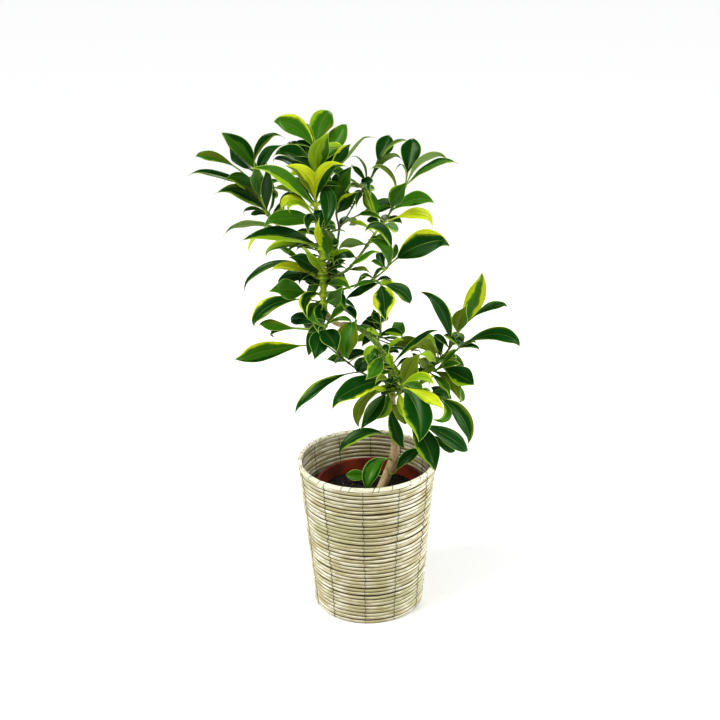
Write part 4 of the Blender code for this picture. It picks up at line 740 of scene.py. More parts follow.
def stemRun(stem):
    # A stem's smooth line: seen points, places in metres, radii and lengths along it.
    seen = smoothed(stem[2:])
    line = placed(seen)
    along = np.concatenate([[0.0], np.cumsum(np.linalg.norm(np.diff(line, axis=0), axis=1))])
    return {"seen": seen, "line": line, "along": along, "knots": [],
            "radii": np.linspace(stem[0], stem[1], len(line)) * cm}


def deepened(shoot, deep):
    stems = [(*stem[:2], *((x, z, y * deep) for x, z, y in stem[2:])) for stem in shoot["stems"]]
    leaves = [(*leaf[:5], leaf[5] * deep, *leaf[6:]) for leaf in shoot["leaves"]]
    return {**shoot, "stems": [stemRun(stem) for stem in stems], "leaves": leaves}


def backLeaves(shoot, rng):
    # leaves on the side away from the eye, spread along the shoot's first stem
    stem, made = shoot["stems"][0], []
    for k in range(shoot["back"]):
        share = 0.35 + 0.6 * (k + 0.5) / shoot["back"]
        x, z, y = stem["seen"][int(share * (len(stem["seen"]) - 1))]
        lean = rng.choice((-1.0, 1.0)) * rng.uniform(0.6, 2.2)
        rise = rng.uniform(0.2, 1.4)
        made.append(((x, z), (x + 0.6 * lean, z + rise), (x + lean, z + 0.4 * rise), rng.uniform(1.6, 2.2),
                     90, rng.uniform(4.2, 6.0), 0.08, rng.choice(("ddd", "ddl", "mmm", "ydd"))))
    return made


def aroundStems(name, shoot, rng):
    # Short leaves at random places on the stems' upper parts, pointing up and outwards to either side.
    made = []
    for _ in range(smallLeaves["counts"].get(name, 0)):
        stem = rng.choice(shoot["stems"])
        places = stem["seen"]
        at = places[int(rng.uniform(0.25, 0.97) * (len(places) - 1))]
        length, way = rng.uniform(*smallLeaves["length"]), rng.choice((-1.0, 1.0)) * rng.uniform(25.0, 115.0)
        side, up = length * math.sin(math.radians(way)), length * math.cos(math.radians(way))
        made.append(((at[0], at[1]), (at[0] + 0.5 * side, at[1] + 0.5 * up + 0.15 * length),
                     (at[0] + side, at[1] + up), rng.uniform(*smallLeaves["width"]), rng.uniform(0.0, 80.0),
                     rng.uniform(-1.5, 1.5), 0.08, rng.choice(smallLeaves["tints"])))
    return made


def leafRoot(leaf, stems):
    # the nearest point of the shoot's stems to where the leaf is laid out to start
    best = None
    for stem in stems:
        off = np.hypot(stem["seen"][:, 0] - leaf[0][0], stem["seen"][:, 1] - leaf[0][1])
        off[stem["along"] < min(7.0 * mm, 0.4 * stem["along"][-1])] = np.inf
        i = int(np.argmin(off))
        if best is None or off[i] < best[0]:
            best = (off[i], stem, i)
    best[1]["knots"].append(best[1]["along"][best[2]])
    return best[1]["seen"][best[2]]


def leafFrame(root, leaf, t):
    # A leaf's midrib is a quadratic curve from its root through the laid-out middle to its tip, its depth growing
    # evenly. Its face turns from the eye (0 degrees) up or to the right (90).
    mid, tip, turn, deep = leaf[1], leaf[2], math.radians(leaf[4]), leaf[5]
    first = np.array(root)
    half = np.array([*mid, root[2] + 0.5 * deep])
    last = np.array([*tip, root[2] + deep])
    bow = 2.0 * half - 0.5 * (first + last)

    def midrib(u):
        return placed((1.0 - u) ** 2 * first + 2.0 * u * (1.0 - u) * bow + u ** 2 * last)

    u = t[:, None]
    line = midrib(u)
    run = unit(midrib(u + 0.01) - line)
    view = unit(lookout * cm - line)
    front = unit(view - (view * run).sum(axis=1, keepdims=True) * run)
    side = np.cross(front, run)
    if np.cross(front[len(front) // 2], line[-1] - line[0]) @ (0.35, 0.0, 1.0) < 0.0:
        side = -side
    face = math.cos(turn) * front + math.sin(turn) * side
    return line, run, np.cross(face, run), face


def leafPart(root, leaf, rng):
    # One closed leaf. Each ring goes over the upper face and back under the lower one. Half-width: a round petiole,
    # then sin(pi s^skew)^fullness of the blade's share s, then a narrow drip tip. Height: the wings rise from the
    # midrib by fold |v| - arch v^2, with wavy edges, and the midrib is a groove above and a ridge below. A capital
    # letter in the colours fills its half of the leaf up to the midrib: partly the leaf's own variegation, partly
    # painted light, that half coloured as if lit.
    shape = leafShape
    width, petiole, tint = leaf[3] * shape["wider"] * cm, leaf[6], leaf[7]
    stalk = petiole * np.linspace(0.0, 1.0, shape["petioleRings"])[:-1]
    blade = petiole + (1.0 - petiole) * (0.5 - 0.5 * np.cos(np.linspace(0.06, 1.0, shape["bladeRings"]) * math.pi))
    t = np.concatenate([stalk, blade])
    s = np.clip((t - petiole) / (1.0 - petiole), 0.0, 1.0)
    line, run, across, face = leafFrame(root, leaf, t)
    length = np.linalg.norm(np.diff(line, axis=0), axis=1).sum()

    skew, fullness = rng.uniform(*shape["skew"]), rng.uniform(*shape["fullness"])
    body = np.maximum(np.sin(math.pi * np.clip(s / shape["bodyShare"], 0.0, 1.0) ** skew), 0.0) ** fullness
    body = body * (1.0 - shape["taper"] * easeStep(0.60, 0.95, s))
    stalkHalf = shape["petioleHalf"] * (1.0 - easeStep(0.0, 0.5, s))
    tipHalf = shape["dripTip"] * np.sqrt(np.maximum(1.0 - s, 0.0) + 0.01) * easeStep(0.6, 0.9, s)
    half = np.sqrt((0.5 * width * body) ** 2 + stalkHalf ** 2 + tipHalf ** 2)

    swing = rng.uniform(-1.0, 1.0) * shape["twist"] * s ** 1.5
    across, face = (np.cos(swing)[:, None] * across + np.sin(swing)[:, None] * face,
                    np.cos(swing)[:, None] * face - np.sin(swing)[:, None] * across)
    hook = np.clip((s - 0.8) / 0.2, 0.0, 1.0) ** 2 * length
    line = line - face * (shape["tipHook"] * rng.uniform(0.5, 1.3) * hook)[:, None]
    line = line + across * (0.5 * shape["tipHook"] * rng.uniform(-1.0, 1.0) * hook)[:, None]

    v = np.array(shape["acrossTop"] + shape["acrossUnder"])[None, :]
    under = np.array([0.0] * len(shape["acrossTop"]) + [1.0] * len(shape["acrossUnder"]))[None, :]
    s, half = s[:, None], half[:, None]
    bladed = easeStep(0.0, 0.25, s)
    fold = shape["fold"] * rng.uniform(0.75, 1.2) * (1.0 - 0.35 * s)
    arch = shape["arch"] * rng.uniform(0.6, 1.5)
    counts, turns = rng.uniform(1.4, 2.6), (rng.uniform(0.0, 6.3), rng.uniform(0.0, 6.3))
    phase = np.where(v > 0.0, turns[0], turns[1])
    wave = shape["edgeWave"] * rng.uniform(0.4, 1.3) * np.sin(2.0 * math.pi * counts * s + phase)
    lift = half * bladed * (fold * np.abs(v) - arch * v ** 2 + wave * np.abs(v) ** 3)
    thick = shape["bladeThick"] + (shape["petioleThick"] - shape["bladeThick"]) * (1.0 - easeStep(0.0, 0.3, s))
    skin = 0.5 * thick * np.sqrt(np.maximum(1.0 - np.abs(v) ** (2.0 + 6.0 * bladed), 0.0))
    rib = np.exp(-(v * half / (0.8 * mm)) ** 2) * bladed * (1.0 - s) ** 0.4
    height = lift + np.where(under > 0.5, -skin - shape["ridge"] * rib, skin - shape["groove"] * rib)
    points = line[:, None] + across[:, None] * (v * half)[..., None] + face[:, None] * height[..., None]

    full = np.ones(points.shape[:2])
    seed = rng.uniform(0.0, 1.0)
    tints = [full[..., None] * np.array(leafTints[letter.lower()]) for letter in tint]
    # which half a capital fills: partly the leaf's own variegation, partly painted light on that half
    halfFillAndLight = float(tint[0].isupper()) - float(tint[2].isupper())
    if across[len(across) // 2] @ (-0.35, 0.0, 1.0) < 0.0:
        tints.reverse()
        halfFillAndLight = -halfFillAndLight
    place = np.stack([full * s, full * v, full * seed], axis=-1)
    sides = np.stack([full * under, full * halfFillAndLight, half * (1.0 - np.abs(v)) / mm], axis=-1)
    return gridPart(points, leafPlace=place, leafSide=sides, sideTint=tints[0], middleTint=tints[1],
                    otherTint=tints[2])


def stemPart(stem, freshness, rng):
    # A round tube, a little thicker at each leaf, its radius waving slightly along and around.
    count = int(stem["along"][-1] / (1.2 * mm)) + 2
    along = np.linspace(0.0, stem["along"][-1], count)
    line = np.stack([np.interp(along, stem["along"], stem["line"][:, k]) for k in range(3)], axis=1)
    radii = np.interp(along, stem["along"], stem["radii"])
    for knot in stem["knots"]:
        radii = radii * (1.0 + plant["nodeSwell"] * np.exp(-((along - knot) / plant["nodeReach"]) ** 2))
    angle = np.arange(plant["stemSides"]) * 2.0 * math.pi / plant["stemSides"]
    wobble = 1.0 + 0.05 * np.sin(along[:, None] * 900.0 + 2.0 * angle + rng.uniform(0.0, 6.3))
    rings = radii[:, None] * wobble
    closing = np.sqrt(np.clip((along[-1] - along) / (1.5 * mm), 0.02, 1.0))[:, None]
    ring = np.stack([rings * closing * np.cos(angle), rings * closing * np.sin(angle)], axis=-1)
    tone = np.full(rings.shape, freshness) + 0.15 * np.sin(along * 130.0 + rng.uniform(0.0, 6.3))[:, None]
    place = np.stack([np.broadcast_to(along[:, None] / cm, rings.shape),
                      np.broadcast_to(angle, rings.shape), tone], axis=-1)
    return gridPart(carried(line, ring), look=1, stemPlace=place)


def makeShoots(leafLook, stemLook):
    rng = random.Random(plant["seed"])
    detail = random.Random(plant["seed"] + 1)
    for name, laidOut in shoots.items():
        laidOut = {**laidOut, "leaves": laidOut["leaves"] + innerLeaves.get(name, [])}
        shoot = deepened(laidOut, 1.0 if name in plant["lowShoots"] else plant["bushDepth"])
        leaves = shoot["leaves"] + backLeaves(shoot, rng) + aroundStems(name, shoot, detail)
        parts = [leafPart(leafRoot(leaf, shoot["stems"]), leaf, detail) for leaf in leaves]
        parts += [stemPart(stem, stemFreshness.get(name, 0.6), detail) for stem in shoot["stems"]]
        addPiece(name + "_foliage", parts, [leafLook, stemLook], [name])
    print("leafy shoots made")


# The trunk

def makeTrunk(look):
    # A tube along the trunk's line. Its radius has slow waves around and along, ring scars, and a flare at the soil.
    rng = random.Random(21)
    stem = smoothed(trunkLine, 12)
    line = placed(stem[:, :3])
    radii = stem[:, 3] * cm
    along = np.concatenate([[0.0], np.cumsum(np.linalg.norm(np.diff(line, axis=0), axis=1))])
    marks = np.linspace(0.0, along[-1], int(along[-1] / (0.9 * mm)))
    line = np.stack([np.interp(marks, along, line[:, k]) for k in range(3)], axis=1)
    radii = np.interp(marks, along, radii)
    angle = np.arange(plant["trunkSides"]) * 2.0 * math.pi / plant["trunkSides"]
    height = line[:, 2] / cm
    radii = radii * (1.0 + plant["rootFlare"] * np.exp(-((height - 15.6) / 0.9) ** 2))
    turn, rise = np.meshgrid(angle, marks / cm)
    knobs = sum(rng.uniform(0.012, 0.022) * np.sin(k * turn + rng.uniform(0.3, 1.1) * rise + rng.uniform(0.0, 6.3))
                for k in (1, 2, 3, 5))
    scars = sum(rng.uniform(0.015, 0.035) * np.exp(-((rise - at) / 0.10) ** 2)
                * (0.6 + 0.4 * np.sin(turn + rng.uniform(0.0, 6.3)))
                for at in (4.2, 5.9, 7.0, 8.8, 10.4, 11.9, 13.1, 14.6, 16.2, 17.5, 19.0, 20.4, 22.0, 23.5, 25.2, 27.0,
                           28.3, 29.9))
    fissures = 0.010 * np.sin(14.0 * turn + 1.2 * np.sin(0.9 * rise)) * np.sin(3.1 * rise + 2.0 * turn)
    rings = radii[:, None] * (1.0 + knobs + scars + fissures)
    ring = np.stack([rings * np.cos(angle), rings * np.sin(angle)], axis=-1)
    green = easeStep(28.5, 32.5, height) * (1.0 - 0.85 * easeStep(38.9, 39.6, height) * easeStep(0.0, 2.5, -line[:, 0] / cm))
    place = np.stack([rise, turn, np.broadcast_to(green[:, None], rise.shape)], axis=-1)
    addPiece("trunk_bark", [gridPart(carried(line, ring), barkPlace=place)], [look], ["trunk"])
    print("trunk made")


# The cover pot

coverPot = {
    "height": 0.2099,
    "footRadius": 0.0720,
    "topRadius": 0.0892,
    "rows": 36,
    "rowDeep": 2.3 * mm,  # half a row's thickness, in and out
    "rowGap": 0.94,  # how much of its share of the height a row fills
    "rowBow": 0.55 * mm,  # how far a row bends up or down between two lines of stitching
    "strandGroove": 0.34,  # how deep the line between a row's two strands is
    "rowWander": 0.30 * mm,
    "kink": 0.45 * mm,  # how far the rows step up or down at each line of stitching
    "around": 192,
    "section": (0, 13, 35, 62, 90, 130, 160, 180, 200, 230, 270, 298, 325, 347),  # degrees round a row, 0 outside
    "rimRadius": 3.0 * mm,
    "rimStrands": 5,
    "rimTwists": 9,
    "rimTies": 31,
    "frayedFibres": 300,
    "liningThick": 0.5 * mm,
}

stitching = {
    "count": 12,
    "firstAngle": math.radians(-94.0),
    "thread": 0.32 * mm,
    "zigzag": (2.0, 2.0, 4.4, 4.0, 2.0, 2.6, 2.0, 2.4, 2.0, 2.0, 1.6, 2.4),  # mm from side to side
    "shift": (0.0, 0.0, 2.0, 4.5, 0.0, 0.0, 0.0, 0.0, 0.0, 0.0, -4.0, -4.0),  # degrees from an even spacing
    "sides": 6,
    "perRow": 8,
}


def wallRadius(z):
    spread = coverPot["topRadius"] - coverPot["footRadius"]
    return coverPot["footRadius"] + spread * z / (coverPot["height"] - coverPot["rimRadius"])


def ringAt(radius, height, angle):
    return np.stack([radius * np.cos(angle), radius * np.sin(angle), height], axis=-1)


def rowHeights(rng):
    # each row's middle height and half-height: an even pitch, with small random shifts that open and close the gaps
    top = coverPot["height"] - 2.0 * coverPot["rimRadius"] + 0.6 * mm
    pitch = top / coverPot["rows"]
    middles = (np.arange(coverPot["rows"]) + 0.5) * pitch
    shifts = np.array([rng.uniform(-1.0, 1.0) for _ in middles]) * 0.07 * pitch
    shifts[0] = 0.0
    halves = 0.5 * pitch * coverPot["rowGap"] * np.array([rng.uniform(0.90, 1.06) for _ in middles])
    return middles + shifts, halves


def makeCaneRows(look):
    # Each row is a ring whose section is a flattened round with two strand ridges, split by a groove that winds slowly
    # along it.
    rng = random.Random(5)
    around = np.arange(coverPot["around"]) * 2.0 * math.pi / coverPot["around"]
    section = np.radians(coverPot["section"])
    middles, halves = rowHeights(rng)
    parts = []
    for row, (middle, half) in enumerate(zip(middles, halves)):
        steady = 0.0 if row == 0 else 1.0
        height = middle + steady * roundWave(around, rng, (2, 3, 5, 8, 13, 22, 34), coverPot["rowWander"])
        steps = [rng.uniform(-1.0, 1.0) * steady * coverPot["kink"] for _ in range(stitching["count"])]
        marks = (around - stitching["firstAngle"]) % (2.0 * math.pi) / (2.0 * math.pi) * stitching["count"]
        height = height + np.interp(marks, np.arange(stitching["count"] + 1), steps + steps[:1])
        bows = np.array([rng.uniform(-1.0, 1.0) for _ in steps]) * steady * coverPot["rowBow"]
        height = height + bows[marks.astype(int) % len(bows)] * np.sin(math.pi * (marks % 1.0))
        swell = 1.0 + roundWave(around, rng, (3, 7, 12, 19, 31, 47), 0.09)
        radius = wallRadius(middle) + roundWave(around, rng, (3, 5, 9, 16), 0.25 * mm)
        wind = rng.uniform(-3.0, 3.0) * around + rng.uniform(0.0, 6.3)
        parting = 0.12 * np.sin(np.round(wind[-1] / 6.28) * around[:, None] + wind[0])
        strand = 1.0 - coverPot["strandGroove"] * np.exp(-((np.sin(section) - parting) / 0.20) ** 2)
        inOut = coverPot["rowDeep"] * swell[:, None] * strand * np.cos(section)
        upDown = half * swell[:, None] * np.sin(section)
        upDown = np.maximum(upDown, 0.15 * mm - middle)
        angle = around[:, None]
        points = ringAt(radius[:, None] + inOut, height[:, None] + upDown, angle + 0.0 * inOut)
        tone = rng.uniform(0.0, 1.0)
        place = np.stack([angle * radius[:, None] / cm + 0.0 * inOut, section[None, :] + 0.0 * inOut,
                          np.full(inOut.shape, row + tone)], axis=-1)
        parts.append(gridPart(points, looped=True, canePlace=place))
    addPiece("cane_rows", parts, [look], ["basket_wall"])

    # the lining behind the rows closes the gaps between them; its near-black colour is painted shade in the gaps
    z = np.linspace(0.8 * mm, middles[-1], 12)
    z = np.concatenate([z[::-1], z])
    thick = np.concatenate([np.full(12, 0.5), np.full(12, -0.5)]) * coverPot["liningThick"]
    points = ringAt((wallRadius(z) + thick)[:, None] + 0.0 * around, z[:, None] + 0.0 * around, around[None, :])
    place = np.stack([around[None, :] * 8.0 + 0.0 * z[:, None], z[:, None] / cm + 0.0 * around,
                      0.0 * z[:, None] + 0.0 * around], axis=-1)
    inner = np.broadcast_to((thick < 0.0)[None, :], points.shape[1::-1])
    return gridPart(points.transpose(1, 0, 2), looped=True, canePlace=place.transpose(1, 0, 2), liningSide=inner)


def windingTube(turns, path, radius, sides):
    # a round tube along a path of the ring's angle, radius and height
    line = ringAt(path[:, 0], path[:, 1], turns)
    section = np.arange(sides) * 2.0 * math.pi / sides
    thin = np.asarray(radius).reshape(-1, 1) * np.ones((len(line), sides))
    return carried(line, np.stack([thin * np.cos(section), thin * np.sin(section)], axis=-1))


def makeRim(look, tieLook, fibreLook):
    # A bundle of strands twisted into a ring: the section's radius has one round lobe for each strand, and the lobes
    # turn slowly along it. Thin ties cross it at a slant, and loose fibres stand up from its back.
    rng = random.Random(11)
    around = np.arange(720) * 2.0 * math.pi / 720
    section = np.arange(30) * 2.0 * math.pi / 30
    turn, side = np.meshgrid(around, section, indexing="ij")
    lobe = 0.5 * coverPot["rimStrands"] * (side + coverPot["rimTwists"] / coverPot["rimStrands"] * 2.0 * turn)
    radius = coverPot["rimRadius"] * (0.84 + 0.15 * np.abs(np.sin(lobe)) ** 0.6)
    radius = radius * (1.0 + roundWave(turn, rng, (4, 9, 17, 30, 51), 0.02))
    middle = coverPot["height"] - coverPot["rimRadius"]
    height = middle + roundWave(turn, rng, (2, 3, 6), 0.0003)
    points = ringAt(coverPot["topRadius"] + radius * np.cos(side), height + 0.99 * radius * np.sin(side), turn)
    place = np.stack([turn * coverPot["topRadius"] / cm, side, 40.0 + np.floor(lobe / math.pi)], axis=-1)
    parts = [gridPart(points, looped=True, canePlace=place)]
    for k in range(coverPot["rimTies"]):
        start = (k + rng.uniform(-0.3, 0.3)) * 2.0 * math.pi / coverPot["rimTies"]
        along = np.linspace(0.0, 1.0, 34)
        turns = start + along * rng.uniform(0.06, 0.13)
        wrap = 2.0 * math.pi * along + 2.6
        path = np.stack([coverPot["topRadius"] + 2.95 * mm * np.cos(wrap), middle + 2.95 * mm * np.sin(wrap)], axis=1)
        tube = windingTube(turns, path, 0.34 * mm, 5)
        parts.append(gridPart(tube, look=1, canePlace=np.zeros(tube.shape)))
    for k in range(coverPot["frayedFibres"]):
        at = math.radians(rng.uniform(86.0, 165.0) if k % 4 else rng.uniform(0.0, 360.0))
        along = np.linspace(0.0, 1.0, 7)
        reach = rng.uniform(0.010, 0.035) * rng.choice((-1.0, 1.0))
        tall = rng.uniform(0.8, 3.8) * mm if k % 4 else rng.uniform(0.2, 0.8) * mm
        out = rng.uniform(-2.0, 2.5) * mm
        start = math.sqrt(9.0 - (out / mm) ** 2) * mm * 0.93
        path = np.stack([coverPot["topRadius"] + out * (1.0 + 0.1 * along),
                         middle + start + tall * along ** 1.6], axis=1)
        tube = windingTube(at + reach * along, path, 0.26 * mm * (1.05 - along), 4)
        parts.append(gridPart(tube, look=0 if k % 2 else 2, canePlace=np.zeros(tube.shape) + (0.0, 0.0, k)))
    addPiece("bound_rim", parts, [look, tieLook, fibreLook], ["basket_rim"])
    print("cover pot made")


def makeStitching(look):
    # Each thread climbs the wall outside, in and out over the rows and zigzag from side to side, crosses the top
    # under the rim, and goes down inside.
    rng = random.Random(17)
    middles, halves = rowHeights(random.Random(5))
    pitch = middles[1] - middles[0]
    top = coverPot["height"] - 2.0 * coverPot["rimRadius"]
    steps = coverPot["rows"] * stitching["perRow"]
    z = np.linspace(1.2 * mm, top, steps)
    nearest = np.abs(z[:, None] - middles).argmin(axis=1)
    off = (z - middles[nearest]) / np.maximum(halves[nearest], 1e-6)
    bulge = np.sqrt(np.maximum(1.0 - off ** 2, 0.0))
    for k in range(stitching["count"]):
        start = stitching["firstAngle"] + k * 2.0 * math.pi / stitching["count"]
        start = start + math.radians(stitching["shift"][k])
        swing = stitching["zigzag"][k] * mm * (2.0 * np.abs((z / (2.0 * pitch)) % 1.0 - 0.5) - 0.5)
        drift = roundWave(z * 40.0, rng, (1, 2, 3), 0.8 * mm)
        out = coverPot["rowDeep"] * (0.35 + 0.72 * bulge) + stitching["thread"]
        angle = start + (swing + drift) / wallRadius(z)
        outside = ringAt(wallRadius(z) + out, z, angle)
        inside = ringAt(wallRadius(z) - out, z, start + (0.6 * drift - 0.2 * swing) / wallRadius(z))[::-1]
        inside = inside[inside[:, 2] > 0.0052]
        over = ringAt(np.linspace(wallRadius(top) + out[-1], wallRadius(top) - out[-1], 9)[1:-1],
                      np.full(7, top + 0.4 * mm), np.full(7, angle[-1]))
        line = np.concatenate([outside, over, inside])
        section = np.arange(stitching["sides"]) * 2.0 * math.pi / stitching["sides"]
        ring = np.stack([stitching["thread"] * np.cos(section), stitching["thread"] * np.sin(section)], axis=-1)
        ring = np.broadcast_to(ring, (len(line), *ring.shape))
        sideways = (-math.sin(start), math.cos(start), 0.0)
        place = np.broadcast_to(np.array([float(k), 0.0, 0.0]), (len(line), stitching["sides"], 3))
        addPiece(f"thread_{k + 1:02d}", [gridPart(carried(line, ring, sideways), threadPlace=place)], [look],
                 [f"stitch_{k + 1:02d}"])
    print("stitching made")


# The nursery pot and the soil

innerPot = {
    "centreX": 3.0 * mm,
    "top": 0.1750,
    "topRadius": 0.0720,
    "footRadius": 0.0520,
    "foot": 4.3 * mm,
    "wall": 2.0 * mm,
    "lip": 1.8 * mm,
    "lipHeight": 16.0 * mm,
    "round": 0.8 * mm,
    "sides": 160,
}

potSoil = {
    "top": 0.1570,
    "crown": 2.0 * mm,
    "roughness": 1.5 * mm,
    "crumbs": 420,
    "specks": 26,
    "trunkX": 0.0175,
}


def turnedPart(profile, sides, centreX=0.0, **tags):
    angle = np.arange(sides) * 2.0 * math.pi / sides
    profile = np.asarray(profile)
    points = ringAt(profile[:, :1] + 0.0 * angle, profile[:, 1:] + 0.0 * angle, angle[None, :])
    return gridPart(points + (centreX, 0.0, 0.0), **tags)


def roundedCorners(points, reach):
    # Each corner of a profile is cut back by the reach on both sides and joined by a quadratic bend.
    made = [points[0]]
    for before, corner, after in zip(points, points[1:], points[2:]):
        before, corner, after = map(np.array, (before, corner, after))
        back, on = before - corner, after - corner
        a = corner + back * min(reach / np.linalg.norm(back), 0.45)
        b = corner + on * min(reach / np.linalg.norm(on), 0.45)
        made += [tuple((1 - u) ** 2 * a + 2 * u * (1 - u) * corner + u ** 2 * b) for u in np.linspace(0, 1, 5)]
    return made + [points[-1]]


def potOuter(z):
    top = innerPot["topRadius"] - innerPot["lip"]
    return innerPot["footRadius"] + (top - innerPot["footRadius"]) * (z - innerPot["foot"]) / (
        innerPot["top"] - innerPot["foot"])


def makeInnerPot(look):
    foot, top, wall = innerPot["foot"], innerPot["top"], innerPot["wall"]
    floor, lip = foot + wall, top - innerPot["lipHeight"]
    corners = [(0.5 * mm, floor), (potOuter(floor) - wall, floor), (potOuter(top) - wall, top),
               (innerPot["topRadius"], top), (potOuter(lip) + innerPot["lip"], lip), (potOuter(lip), lip),
               (innerPot["footRadius"], foot), (0.5 * mm, foot)]
    profile = roundedCorners(corners, innerPot["round"])
    addPiece("clay_pot", [turnedPart(profile, innerPot["sides"], innerPot["centreX"])], [look], ["inner_pot"])
    print("nursery pot made")


def crumbPart(centre, size, rng, look=0):
    # a lump of soil: a ball of few faces, squashed and dented by sines of its own directions
    tall, wide = np.meshgrid(np.linspace(0.18, math.pi - 0.18, 6), np.arange(8) * math.pi / 4.0, indexing="ij")
    ball = np.stack([np.sin(tall) * np.cos(wide), np.sin(tall) * np.sin(wide), np.cos(tall)], axis=-1)
    axis = np.array([rng.uniform(-1.0, 1.0) for _ in range(3)])
    dent = 1.0 + 0.30 * np.sin(ball @ axis * 3.0 + rng.uniform(0.0, 6.3))
    scale = np.array([rng.uniform(0.6, 1.3), rng.uniform(0.6, 1.3), rng.uniform(0.45, 0.9)])
    points = np.array(centre) + size * ball * dent[..., None] * scale
    return gridPart(points, look=look)


def makeSoil(look, speckLook):
    # The surface is a dome roughened by sines in many directions. The trunk stands in it, and crumbs lie on it.
    rng = random.Random(31)
    waves = [(rng.uniform(0.0, 2.0 * math.pi), rng.uniform(250.0, 2600.0), rng.uniform(0.0, 6.3)) for _ in range(26)]

    def surface(x, y):
        rough = sum(np.sin(f * (x * math.cos(a) + y * math.sin(a)) + p) * (300.0 / f) ** 0.45 for a, f, p in waves)
        dome = potSoil["crown"] * (1.0 - ((x - innerPot["centreX"]) ** 2 + y ** 2) / innerPot["topRadius"] ** 2)
        return potSoil["top"] + dome + potSoil["roughness"] * rough / 7.0

    sides = 200
    angle = np.arange(sides) * 2.0 * math.pi / sides
    edge = potOuter(potSoil["top"]) - innerPot["wall"] - 0.3 * mm
    floor = innerPot["foot"] + innerPot["wall"] + 0.5 * mm
    radii = np.concatenate([np.linspace(0.4 * mm, edge, 80)])
    x = innerPot["centreX"] + radii[:, None] * np.cos(angle)
    y = radii[:, None] * np.sin(angle)
    topRings = np.stack([x, y, surface(x, y)], axis=-1)
    low = np.array([(potOuter(z) - innerPot["wall"] - 0.3 * mm, z) for z in (0.14, 0.09, floor)] + [(0.4 * mm, floor)])
    lowRings = ringAt(low[:, :1] + 0.0 * angle, low[:, 1:] + 0.0 * angle, angle[None, :]) + (innerPot["centreX"], 0, 0)
    parts = [gridPart(np.concatenate([topRings, lowRings]))]
    for k in range(potSoil["crumbs"] + potSoil["specks"]):
        reach, at = (edge - 2.5 * mm) * math.sqrt(rng.uniform(0.0, 1.0)), rng.uniform(0.0, 2.0 * math.pi)
        px, py = innerPot["centreX"] + reach * math.cos(at), reach * math.sin(at)
        speck = k >= potSoil["crumbs"]
        size = rng.uniform(0.5, 1.0) * mm if speck else rng.uniform(0.7, 2.6) * mm
        height = float(surface(np.array(px), np.array(py)))
        parts.append(crumbPart((px, py, height + 0.25 * size), size, rng, look=1 if speck else 0))
    addPiece("potting_soil", parts, [look, speckLook], ["soil"])
    print("soil made")


# Materials

def speckleGroup():
    # Soft patches and fine grain from one place: the patches shift a colour slowly, the grain quickly.
    group, given, out = newGroup(
        "patches and grain",
        {"Place": ("NodeSocketVector", None), "Patch Scale": ("NodeSocketFloat", 10.0),
         "Grain Scale": ("NodeSocketFloat", 200.0)},
        {"Patches": "NodeSocketFloat", "Grain": "NodeSocketFloat"})
    for label, detail in (("Patch", 2.0), ("Grain", 4.0)):
        noise = newNode(group, "ShaderNodeTexNoise", Detail=detail)
        group.links.new(given["Place"], noise.inputs["Vector"])
        group.links.new(given[label + " Scale"], noise.inputs["Scale"])
        group.links.new(noise.outputs["Fac"], out["Patches" if label == "Patch" else "Grain"])
    return group


